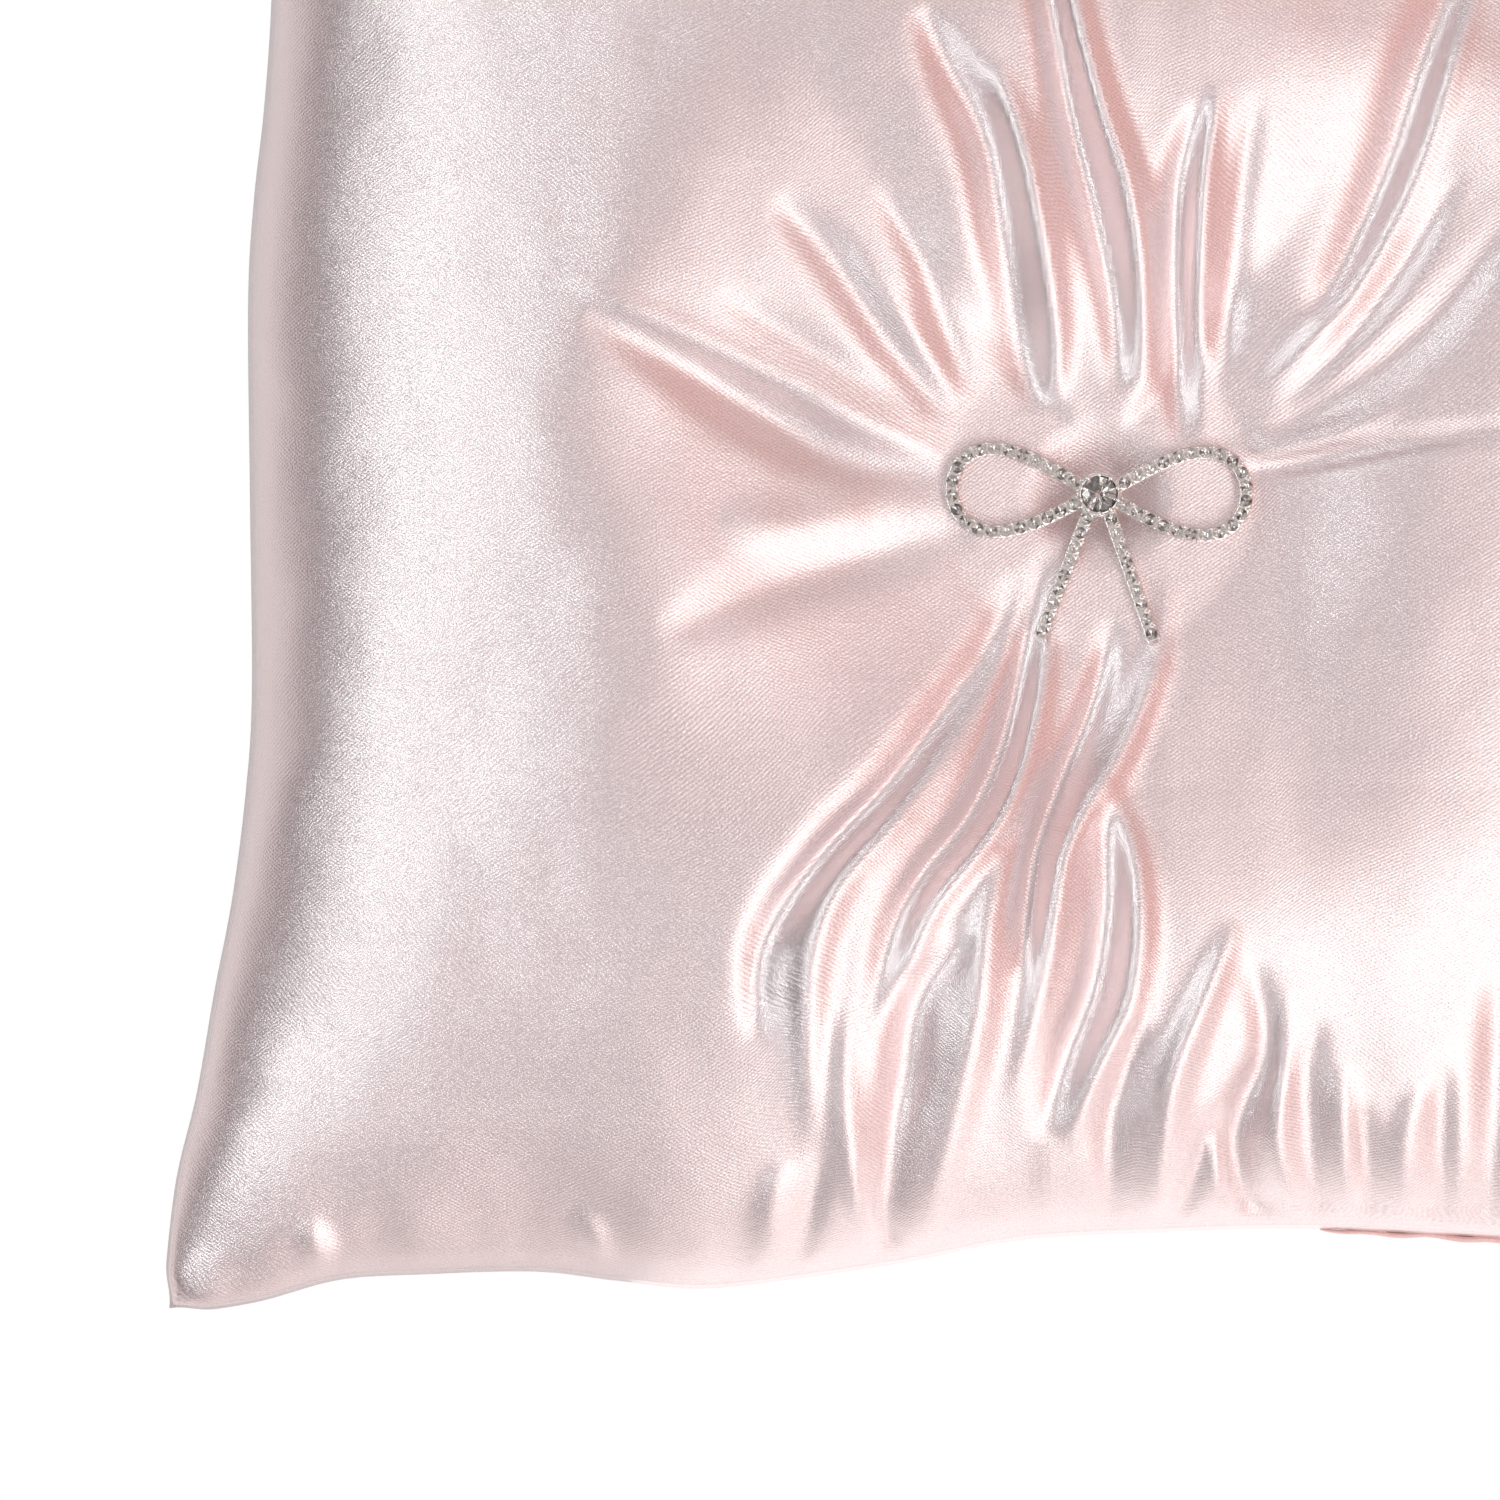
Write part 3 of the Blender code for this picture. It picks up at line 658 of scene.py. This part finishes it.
def turned_edge_parts():
    """The folded edge of the cloth, which the hand stitches pull out a little along the opening."""
    share = np.linspace(0, 1, 200)
    along = OPENING[0] + (OPENING[1] - OPENING[0]) * share
    swell = np.sin(share * math.pi)
    pulled = EDGE_PULL_MM + 0.16 * np.sin(share * LADDER_STITCHES * math.pi) + 0.1 * np.sin(share * 23)
    line = on_seam(along, -pulled[:, None] * swell[:, None] ** 0.3)
    line[:, 2] += 0.12 * np.sin(share * 31)
    thickness = 0.06 + EDGE_RADIUS_MM * swell**0.4
    section = circle(1, 8)[None] * thickness[:, None, None]
    return [sweep(line, section, (0, 0, 1))]


def twine_parts():
    """The tufting thread: one loop over the bow's shank and round the web of the button."""
    low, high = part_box("tufting_thread")
    spread = (high.y - low.y) / 2 / MM - TWINE_RADIUS_MM
    end = TWINE_RADIUS_MM + spread
    line = []
    for middle, first in ((high.z / MM - end, 0), (low.z / MM + end, math.pi)):
        for angle in first + np.linspace(0, math.pi, 13):
            y, z = TUFT_MM[1] + spread * math.cos(angle), middle + spread * math.sin(angle)
            line.append((TUFT_MM[0], y, z))
    return twisted(line, (1, 0, 0), TWINE_RADIUS_MM, 3, 1.5, closed=True)


# Bow


def bow_place(x, y):
    """Places of the upright bow, with its knot at the tuft and its tilt."""
    cos, sin = math.cos(BOW_TILT), math.sin(BOW_TILT)
    x, y = np.asarray(x, float), np.asarray(y, float)
    return np.stack([TUFT_MM[0] + x * cos - y * sin, TUFT_MM[1] + x * sin + y * cos], -1)


def loop_line(side):
    """The middle of a loop's band, out from the knot and back."""
    angle = np.linspace(LOOP_START, 2 * math.pi - LOOP_START, 121)
    x = LOOP_CENTRE_MM - LOOP_REACH_MM * np.cos(angle)
    y = LOOP_SWELL_MM * np.sin(angle) * np.sin(angle / 2) ** LOOP_TAPER
    return bow_place(side * x, y + LOOP_RISE * x)


def tail_line(side):
    share = np.linspace(0, 1, 25)
    x = TAIL_ROOT_MM[0] + (TAIL_TIP_MM[0] - TAIL_ROOT_MM[0]) * share
    y = TAIL_ROOT_MM[1] + (TAIL_TIP_MM[1] - TAIL_ROOT_MM[1]) * share
    return bow_place(side * x, y)


def knot_clearance(line):
    """How far along a line from the knot its first crystal comes."""
    away = np.linalg.norm(line - TUFT_MM, axis=1)
    first = np.argmax(away > CRYSTALS_FROM_KNOT_MM)
    return np.interp(CRYSTALS_FROM_KNOT_MM, away[: first + 1], along_line(line)[1][: first + 1])


def crystal_distances(line, count, end_margin):
    """Distances of the crystals along a band: end_margin is None on a loop, whose ends are alike."""
    start = knot_clearance(line)
    return np.linspace(start, along_line(line)[1][-1] - (start if end_margin is None else end_margin), count)


def bands():
    """Each band's label, middle line and crystal distances."""
    for side, label in ((-1, "left"), (1, "right")):
        loop, tail = loop_line(side), tail_line(side)
        yield f"{label}_loop", loop, crystal_distances(loop, LOOP_CRYSTALS, None)
        yield f"{label}_tail", tail, crystal_distances(tail, TAIL_CRYSTALS, TAIL_END_MARGIN_MM)


def raised(places, height):
    return np.hstack([places, np.full((len(places), 1), height)])


def prong(centre, radius, low, high):
    """A small column with a domed head."""
    profile = [(radius * 0.9, low), (radius, high - radius * 0.9), (radius * 0.88, high - radius * 0.45)]
    profile += [(radius * 0.6, high - radius * 0.15), (radius * 0.2, high)]
    return lathe(profile, 10, centre)


def setting_parts():
    """The bow's cast metal: bands with rounded edges and seats, bead prongs and the knot's disc."""
    half, thick = BAND_WIDTH_MM / 2, BOW_TOP_MM - BOW_BACK_MM
    side = ((half - 0.13, 0), (half, 0.14), (half, thick - 0.2), (half - 0.08, thick - 0.06))
    side += ((half - 0.22, thick),)
    section = np.array([*side, *[(-across, up) for across, up in reversed(side)]])
    parts = []
    for _, line, distances in bands():
        parts.append(sweep(raised(line, BOW_BACK_MM), section, (0, 0, 1)))
        pitch = distances[1] - distances[0]
        between = np.append(distances - pitch / 2, distances[-1] + min(pitch / 2, 0.62))
        middle = at(line, between)
        across = directions(raised(line, 0), (0, 0, 1), False)[0]
        across = at(across, np.interp(between, along_line(line)[1], along_line(across)[1]))[:, :2]
        for place, outward in zip(middle, across):
            for way in (-1, 1):
                centre = place + outward * way * (half - PRONG_RADIUS_MM + 0.04)
                parts.append(prong(centre, PRONG_RADIUS_MM, BOW_TOP_MM - 0.1, CRYSTAL_TABLE_MM - 0.02))
    radius = KNOT_RADIUS_MM
    disc = [(radius - 0.12, BOW_BACK_MM), (radius, BOW_BACK_MM + 0.14), (radius, BOW_TOP_MM - 0.18)]
    parts.append(lathe([*disc, (radius - 0.06, BOW_TOP_MM - 0.05), (radius - 0.2, BOW_TOP_MM)], 48, TUFT_MM))
    return parts


def painted_facet_shade(number):
    """Which of the bright, middle and dark foils lies behind a facet: painted reflection and painted shade,
    some facets lighter and some darker.
    """
    return (1, 2, 1, 3, 2)[int(0.618034 * 7 * number + 0.37 * number * number) % 5]


def crystal(centre, turn, seed):
    """A small foiled crystal: an eight-sided table and crown, a girdle and a pointed back."""
    # The dull crystal: all its back facets take the dark foil shade
    off_tone = np.hypot(*(centre - DULL_CRYSTAL_MM)) < CRYSTAL_RADIUS_MM
    table, girdle = CRYSTAL_TABLE_MM, CRYSTAL_TABLE_MM - 0.24
    culet = girdle - 0.5
    points = []
    for share, height, half_step in ((0.55, table, 0), (1, girdle, 0.5), (1, girdle - 0.06, 0.5)):
        angles = (np.arange(8) + half_step) * math.pi / 4 + turn
        points += ring_of_points(centre, CRYSTAL_RADIUS_MM * share, height, angles)
    points.append((*centre, culet))
    front, back = [tuple(range(8))], []
    for k in range(8):
        after = (k + 1) % 8
        front.append((k, 8 + k, after))
        front.append((8 + k, 8 + after, after))
        front.append((16 + k, 16 + after, 8 + after, 8 + k))
        back.append((24, 16 + after, 16 + k))
    # Painted reflection and shade: each back facet takes a bright, middle or dark foil shade
    looks = [0] * len(front) + [3 if off_tone else painted_facet_shade(8 * seed + k) for k in range(len(back))]
    return [(np.array(points), front + back, looks)]


def brilliant(centre, radius, table, girdle, culet):
    """A round brilliant: table, star, kite and girdle facets in front, long facets behind."""
    rows = ((8, 0.56, table, 0), (8, 0.8, girdle + (table - girdle) * 0.55, 0.5), (16, 1, girdle, 0))
    rows += ((16, 1, girdle - 0.05, 0), (8, 0.42, culet + (girdle - culet) * 0.42, 0.5))
    points = []
    for count, share, height, half_step in rows:
        angles = (np.arange(count) + half_step) * 2 * math.pi / count
        points += ring_of_points(centre, radius * share, height, angles)
    points.append((*centre, culet))
    front, back = [tuple(range(8))], []
    for k in range(8):
        after = (k + 1) % 8
        near_side, far_side = 16 + 2 * k, 16 + (2 * k + 1)
        front.append((k, 8 + k, after))
        front.append((k, 8 + (k - 1) % 8, near_side, 8 + k))
        front.append((8 + k, near_side, far_side))
        front.append((8 + k, far_side, 16 + (2 * k + 2) % 16))
        low_near, low_far, low_next = 32 + 2 * k, 32 + 2 * k + 1, 32 + (2 * k + 2) % 16
        back.append((48 + k, low_far, low_near))
        back.append((48 + k, low_next, low_far))
        back.append((56, 48 + k, low_near, 48 + (k - 1) % 8))
    for k in range(16):
        front.append((32 + k, 32 + (k + 1) % 16, 16 + (k + 1) % 16, 16 + k))
    # Painted reflection and shade: the back facets take the bright, middle and dark foil shades in turn
    looks = [0] * len(front) + [(1, 3, 2, 3, 2)[k % 5] for k in range(len(back))]
    return [(np.array(points), front + back, looks)]


def cup_parts():
    """The knot's cup, its lip and the beads that hold the stone."""
    low, lip, radius = CUP_BOTTOM_MM, CUP_LIP_MM, CUP_RADIUS_MM
    profile = [(radius - 0.12, low), (radius, low + 0.12), (radius - 0.02, lip - 0.25)]
    profile += [(radius - 0.1, lip - 0.06), (radius - 0.2, lip), (radius - 0.28, lip - 0.02)]
    profile += [(radius - 0.33, lip - 0.1), (0.8, low + 0.25)]
    parts = [lathe(profile, 48, TUFT_MM)]
    for k in range(CUP_BEADS):
        angle = (k + 0.5) * 2 * math.pi / CUP_BEADS
        centre = TUFT_MM + (radius - 0.16) * np.array([math.cos(angle), math.sin(angle)])
        parts.append(prong(centre, 0.3, lip - 0.3, STONE_TOP.z / MM - 0.05))
    return parts


def shank_parts():
    """The wire loop behind the knot, with a fillet of solder at each foot."""
    low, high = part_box("bow_shank")
    wire = SHANK_WIRE_MM
    radius = (high.x - low.x) / 2 / MM - wire
    top = high.z / MM
    angles = np.linspace(0, math.pi, 41)
    places = bow_place(radius * np.cos(angles), 0 * angles)
    line = np.hstack([places, (top - (top - low.z / MM - wire) * np.sin(angles))[:, None]])
    parts = [sweep(line, circle(wire, 16), (math.sin(BOW_TILT), -math.cos(BOW_TILT), 0))]
    for place in (places[0], places[-1]):
        parts.append(lathe([(wire, top - 0.55), (wire * 1.15, top - 0.3), (wire * 1.6, top)], 16, place))
    return parts


# Button


def button_parts():
    low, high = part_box("back_button")
    bottom, top, radius = low.z / MM, high.z / MM, (high.x - low.x) / 2 / MM
    profile = [(radius - 1.75, bottom + 0.5), (radius - 1.5, bottom + 0.38), (radius - 1.3, bottom + 0.12)]
    profile += [(radius - 1.05, bottom + 0.02), (radius - 0.8, bottom), (radius - 0.5, bottom + 0.06)]
    profile += [(radius - 0.2, bottom + 0.26), (radius - 0.04, bottom + 0.55), (radius, bottom + 0.9)]
    profile += [(radius - 0.03, top - 0.5), (radius - 0.16, top - 0.22), (radius - 0.4, top - 0.05)]
    return [lathe([*profile, (radius - 0.8, top)], 96, TUFT_MM)], bottom, top


def make_button(look):
    """A two-hole sewing button with a rolled rim and a dished middle, its holes drilled through."""
    parts, bottom, top = button_parts()
    button = make_piece("sewing_button", parts, [look], "button", ["back_button"])
    cutters = []
    for way in (-1, 1):
        centre = TUFT_MM + np.array([0, way * BUTTON_HOLE_SPREAD_MM])
        points, faces = lathe([(BUTTON_HOLE_MM, bottom - 1), (BUTTON_HOLE_MM, top + 1)], 32, centre)
        cutter = mesh_object("hole_cutter", points * MM, faces)
        cut = button.modifiers.new("hole", "BOOLEAN")
        cut.operation = "DIFFERENCE"
        cut.object = cutter
        cutters.append(cutter)
    shaped = bpy.data.meshes.new_from_object(button.evaluated_get(bpy.context.evaluated_depsgraph_get()))
    button.modifiers.clear()
    button.data = shaped
    shaped.set_sharp_from_angle(angle=math.radians(40))
    for cutter in cutters:
        bpy.data.objects.remove(cutter)


# Materials


class Nodes:
    """A short way to write the nodes of a material or of the world."""

    def __init__(self, owner):
        owner.use_nodes = True
        self.owner = owner
        self.tree = owner.node_tree

    def add(self, kind, values=(), **settings):
        node = self.tree.nodes.new(kind)
        for key, value in settings.items():
            setattr(node, key, value)
        for key, value in dict(values).items():
            self.set(node, key, value)
        return node

    def set(self, node, key, value):
        if isinstance(value, bpy.types.NodeSocket):
            self.tree.links.new(value, node.inputs[key])
        else:
            node.inputs[key].default_value = value

    def math(self, operation, *values, clamp=False):
        node = self.add("ShaderNodeMath", dict(enumerate(values)), operation=operation, use_clamp=clamp)
        return node.outputs[0]

    def mix(self, share, first, second):
        node = self.add("ShaderNodeMix", data_type="RGBA")
        self.set(node, 0, share)
        self.set(node, 6, first)
        self.set(node, 7, second)
        return node.outputs[2]

    def place(self, scale=(1, 1, 1)):
        """Places on the object in metres, stretched by the scale."""
        return self.stretched(self.add("ShaderNodeTexCoord").outputs["Object"], scale)

    def stretched(self, source, scale):
        return self.add("ShaderNodeMapping", {"Vector": source, "Scale": scale}).outputs[0]

    def bump(self, height, depth, strength=1.0, **more):
        values = {"Strength": strength, "Distance": depth, "Height": height}
        return self.add("ShaderNodeBump", {**values, **more}).outputs[0]

    def shaded(self, values):
        """The material, with these values on its shader."""
        for key, value in values.items():
            self.set(self.tree.nodes["Principled BSDF"], key, value)
        return self.owner

    def split(self, lit, seen, output):
        """One shader for what the light falls on, and one for what the camera sees of it."""
        path = self.add("ShaderNodeLightPath").outputs["Is Camera Ray"]
        mix = self.add("ShaderNodeMixShader", {0: path, 1: lit.outputs[0], 2: seen.outputs[0]})
        self.set(self.tree.nodes[output], "Surface", mix.outputs[0])

    def noise(self, vector, scale, detail=2.0, roughness=0.5):
        values = {"Vector": vector, "Scale": scale, "Detail": detail, "Roughness": roughness}
        return self.add("ShaderNodeTexNoise", values).outputs["Fac"]


def new_looks(name):
    return Nodes(bpy.data.materials.new(name))


def satin_velvet():
    """Pale pink satin velvet: a fine knit under a short pile that lies flat and shines."""
    made = new_looks("satin_velvet_looks")
    cloth = made.add("ShaderNodeUVMap", uv_map="cloth").outputs[0]
    parts = made.add("ShaderNodeSeparateXYZ", {0: cloth})
    across, down = (
        made.math("SINE", made.math("MULTIPLY", parts.outputs[k], 2 * math.pi / repeat))
        for k, repeat in enumerate(KNIT_MM)
    )
    knit = made.math("MULTIPLY", made.math("MULTIPLY", down, across), 0.08)
    grain = made.noise(made.stretched(cloth, (3.6, 4.4, 1)), 1.0, detail=3, roughness=0.7)
    mottle = made.noise(made.stretched(cloth, (0.3, 0.5, 1)), 1.0, detail=3, roughness=0.6)
    fine = made.math("ADD", knit, made.math("MULTIPLY_ADD", grain, 0.5, 0.25))
    speckle = made.math("MULTIPLY_ADD", fine, 4.5, -1.75, clamp=True)
    return made.shaded(
        {
            "Base Color": made.mix(speckle, (0.80, 0.695, 0.70, 1), (0.99, 0.895, 0.90, 1)),
            "Metallic": 0.85,
            "Normal": made.bump(mottle, 0.00006, Normal=made.bump(fine, 0.000125)),
            "Roughness": 0.21,
            "IOR": 1.6,
            "Sheen Weight": 0.08,
            "Sheen Roughness": 0.4,
        }
    )


def silver_plate():
    """Rhodium-bright silver plate with the soft unevenness of a polished casting."""
    made = new_looks("silver_plate_looks")
    cast = made.noise(made.place(), 2600.0, detail=3, roughness=0.6)
    off_tone = made.noise(made.place(), 900.0)
    return made.shaded(
        {
            "Base Color": made.mix(off_tone, (0.78, 0.765, 0.745, 1), (0.96, 0.945, 0.92, 1)),
            "Metallic": 1.0,
            "Roughness": made.math("MULTIPLY_ADD", off_tone, 0.16, 0.1),
            "Normal": made.bump(cast, 0.00004, 0.5),
        }
    )


def cut_glass():
    """The clear front of a crystal."""
    made = new_looks("cut_glass_looks")
    scuff = made.noise(made.place(), 3000.0)
    return made.shaded(
        {
            "Base Color": (1, 1, 1, 1),
            "Transmission Weight": 1.0,
            "IOR": 1.62,
            "Roughness": made.math("MULTIPLY", scuff, 0.04),
        }
    )


# The foil's three shades: painted reflection and painted shade on the crystals' facets
FOIL_PAINTED_SHADES = (("bright", 1.0), ("middle", 0.86), ("dark", 0.36))


def crystal_foil(name, shade):
    """The silvered back of a facet, seen through the front of its crystal, in one of three shades: painted
    reflection and painted shade.
    """
    made = new_looks(name)
    dim, bright = (shade * 0.8, shade * 0.79, shade * 0.77, 1), (shade, shade, shade * 0.98, 1)
    tint = made.mix(made.noise(made.place(), 1100.0), dim, bright)
    return made.shaded({"Base Color": tint, "Metallic": 1.0, "Roughness": 0.06})


def shaded_edge_cloth():
    """The cloth of the folded edge, knitted and matt, in a deeper pink that is painted shade from the crease
    between the covers.
    """
    made = new_looks("cloth_back_looks")
    knit = made.noise(made.place(), 2500.0)
    # A deeper pink than the velvet: painted shade from the crease between the covers
    tint = made.mix(knit, (0.84, 0.52, 0.50, 1), (0.97, 0.72, 0.69, 1))
    return made.shaded({"Base Color": tint, "Roughness": 0.7, "Normal": made.bump(knit, 0.00006, 0.5)})


def sewing_thread():
    """Spun pink thread: fine fibres along each ply."""
    made = new_looks("pink_thread_looks")
    fibre = made.noise(made.place((1, 1, 0.35)), 9000.0, detail=3, roughness=0.7)
    return made.shaded(
        {
            "Base Color": made.mix(fibre, (0.72, 0.40, 0.38, 1), (0.92, 0.66, 0.62, 1)),
            "Roughness": 0.55,
            "Sheen Weight": 0.4,
            "Normal": made.bump(fibre, 0.00004, 0.6),
        }
    )


def white_fibre():
    """Polyester fibre filling: soft, matt and full of fine crossing hairs."""
    made = new_looks("white_fibre_looks")
    hair = made.noise(made.place((1, 3, 2)), 700.0, detail=6, roughness=0.75)
    return made.shaded(
        {
            "Base Color": made.mix(hair, (0.80, 0.80, 0.78, 1), (0.96, 0.96, 0.95, 1)),
            "Roughness": 0.95,
            "Sheen Weight": 0.5,
            "Normal": made.bump(hair, 0.0006, 0.9),
        }
    )


def button_plastic():
    """Moulded pearly pink plastic with a faint swirl."""
    made = new_looks("button_plastic_looks")
    swirl = made.noise(made.place((1, 2.5, 1)), 260.0, detail=4, roughness=0.6)
    fine = made.noise(made.place(), 2400.0)
    return made.shaded(
        {
            "Base Color": made.mix(swirl, (0.84, 0.70, 0.69, 1), (0.93, 0.84, 0.83, 1)),
            "Roughness": made.math("MULTIPLY_ADD", fine, 0.12, 0.22),
            "Coat Weight": 0.4,
            "Normal": made.bump(fine, 0.00005, 0.25),
        }
    )


# Studio


WHITE = (1, 1, 1)
LIT_POINT = Vector((0, 0, 0.03))
# Each light's name, angles from the top and round, distance, width and height, radiance and colour
LIGHTS = (
    ("left_softbox", 52, 180, 1.0, (1.4, 0.07), 8.0, (0.95, 1.03, 1.03)),
    ("low_bottom_softbox", 62, 294, 1.2, (1.0, 0.5), 1.7, WHITE),
    ("bottom_softbox", 34, 290, 1.2, (0.7, 0.26), 1.7, WHITE),
    ("bottom_right_softbox", 26, 320, 1.2, (0.5, 0.4), 1.7, WHITE),
    ("right_softbox", 14, 0, 1.2, (0.9, 0.13), 1.2, WHITE),
    ("top_softbox", 34, 90, 1.2, (0.7, 0.22), 1.0, WHITE),
    ("overhead_softbox", 0, 0, 1.3, (0.9, 0.9), 0.1, WHITE),
)


def make_lights():
    """Rectangular soft lights that face the cushion, and that the camera doesn't see."""
    for name, tilt, azimuth, distance, (width, height), radiance, colour in LIGHTS:
        light = bpy.data.lights.new(name, "AREA")
        light.shape = "RECTANGLE"
        light.size, light.size_y = width, height
        light.energy = radiance * math.pi * width * height
        light.color = colour
        lamp = bpy.data.objects.new(name, light)
        bpy.context.scene.collection.objects.link(lamp)
        tilt, turn = math.radians(tilt), math.radians(azimuth)
        away = Vector((math.sin(tilt) * math.cos(turn), math.sin(tilt) * math.sin(turn), math.cos(tilt)))
        lamp.location = LIT_POINT + away * distance
        lamp.rotation_euler = away.to_track_quat("Z", "Y").to_euler()
        lamp.visible_camera = False


# The studio's own light: cool and dim from the left, warm from the right
STUDIO_SIDES = (
    (0.0, (0.15, 0.16, 0.18)),
    (0.09, (0.32, 0.32, 0.34)),
    (0.22, (0.55, 0.53, 0.54)),
    (0.55, (0.49, 0.405, 0.395)),
    (0.75, (0.62, 0.43, 0.40)),
    (1.0, (0.85, 0.52, 0.48)),
)


def make_world():
    """The studio's light by direction, and plain white where the camera sees past the table."""
    world = bpy.data.worlds.new("studio")
    bpy.context.scene.world = world
    made = Nodes(world)
    place = made.add("ShaderNodeTexCoord").outputs["Generated"]
    parts = made.add("ShaderNodeSeparateXYZ", {0: place})
    ramp = made.add("ShaderNodeValToRGB", {0: made.math("MULTIPLY_ADD", parts.outputs["X"], 0.5, 0.5)})
    stops = ramp.color_ramp.elements
    while len(stops) < len(STUDIO_SIDES):
        stops.new(0.5)
    for stop, (position, colour) in zip(stops, STUDIO_SIDES):
        stop.position = position
        stop.color = (*colour, 1)
    studio = made.tree.nodes["Background"]
    made.set(studio, "Color", ramp.outputs[0])
    made.split(studio, made.add("ShaderNodeBackground", {"Color": (1, 1, 1, 1)}), "World Output")


def make_floor():
    """A white table, which to the camera looks evenly lit."""
    floor = mesh_object(
        "floor", [(-4, -4, 0), (4, -4, 0), (4, 4, 0), (-4, 4, 0)], [(0, 1, 2, 3)], smooth=False
    )
    made = new_looks("white_table")
    looks = {"Base Color": (0.8, 0.8, 0.8, 1), "Emission Color": (1, 1, 1, 1), "Emission Strength": 0.1}
    floor.data.materials.append(made.shaded({**looks, "Roughness": 0.7}))
    lit = made.add("ShaderNodeEmission", {"Color": (1, 1, 1, 1), "Strength": 1.0})
    made.split(made.tree.nodes["Principled BSDF"], lit, "Material Output")


def make_card(name, corners, looks):
    """A card that the camera doesn't see, but the cloth mirrors."""
    card = mesh_object(name, corners, [(0, 1, 2, 3)], smooth=False)
    card.data.materials.append(new_looks(f"{name}_looks").shaded(looks))
    card.visible_camera = False


def make_dark_card():
    """A card that stands on the left, low down, and darkens the cushion's side."""
    x, reach, height = -0.5, 0.9, 0.25
    corners = [(x, -reach, 0), (x, reach, 0), (x, reach, height), (x, -reach, height)]
    make_card("dark_card", corners, {"Base Color": (0.16, 0.17, 0.18, 1), "Roughness": 0.9})


def make_bounce_card():
    """A bright card on the table in front, which throws light on to the cushion's near side."""
    left, right, front, back, z = -0.05, 0.35, -0.5, -0.06, 0.0004
    corners = [(left, front, z), (right, front, z), (right, back, z), (left, back, z)]
    looks = {"Base Color": (0.8, 0.8, 0.8, 1), "Emission Color": (1, 0.97, 0.97, 1), "Emission Strength": 0.5}
    make_card("bounce_card", corners, looks)


VIEW_CENTRE = Vector((-0.0367, -0.0389, 0.032))
VIEW_WIDTH = 0.1596
VIEW_DISTANCE = 1.6


def make_camera():
    camera = bpy.data.cameras.new("camera")
    camera.sensor_width = 36
    camera.lens = 36 * VIEW_DISTANCE / VIEW_WIDTH
    camera.clip_end = 50
    obj = bpy.data.objects.new("camera", camera)
    bpy.context.scene.collection.objects.link(obj)
    obj.location = VIEW_CENTRE + Vector((0, 0, VIEW_DISTANCE))
    bpy.context.scene.camera = obj


def make_cushion(velvet):
    front = cover("front_cover", FRONT_CELLS, front_height, 1)
    back = cover("back_cover", BACK_CELLS, back_height, -1)
    for piece, node in ((front, "front_panel"), (back, "back_panel")):
        piece.data.materials.append(velvet)
        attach(piece, "pillow")
        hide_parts(node)


def make_crystals(looks):
    for label, line, distances in bands():
        parts = []
        for k, centre in enumerate(at(line, distances)):
            parts += crystal(centre, 1.7 * k, k + len(label))
        make_piece(f"{label}_crystals", parts, looks, "bow", [f"{label}_stones"], angle=1)


def main():
    bpy.context.scene.view_settings.view_transform = "Standard"
    make_camera()
    make_world()
    make_floor()
    make_dark_card()
    make_bounce_card()
    make_lights()

    velvet, fibre, thread = satin_velvet(), white_fibre(), sewing_thread()
    silver, plastic = silver_plate(), button_plastic()
    # The crystals' glass and their foils, whose three shades are painted reflection and shade
    gem = [cut_glass(), *[crystal_foil(f"foil_{name}", shade) for name, shade in FOIL_PAINTED_SHADES]]
    make_cushion(velvet)
    make_piece("stuffing", stuffing_parts(), [fibre], "pillow", ["fibre_filling"], angle=80)
    sewn = (
        ("machine_stitches", machine_stitch_parts(), thread, "seam_thread"),
        ("ladder_stitches", ladder_stitch_parts(), thread, "closing_thread"),
        # The folded edge's cloth carries a deeper pink of painted shade
        ("turned_edge", turned_edge_parts(), shaded_edge_cloth(), "closing_thread"),
        ("tufting_twine", twine_parts(), thread, "tufting_thread"),
    )
    for name, parts, look, node in sewn:
        make_piece(name, parts, [look], "pillow", [node])
    make_piece("bow_setting", setting_parts(), [silver], "bow", ["bow_frame"], angle=50)
    make_piece("stone_cup", cup_parts(), [silver], "bow", ["centre_cup"], angle=50)
    make_piece("shank_loop", shank_parts(), [silver], "bow", ["bow_shank"])
    heights = (STONE_TOP.z / MM, STONE_TOP.z / MM - 0.42, STONE_LOW.z / MM)
    stone = brilliant(TUFT_MM, STONE_RADIUS_MM, *heights)
    make_piece("centre_brilliant", stone, gem, "bow", ["centre_stone"], angle=1)
    make_crystals(gem)
    make_button(plastic)


main()
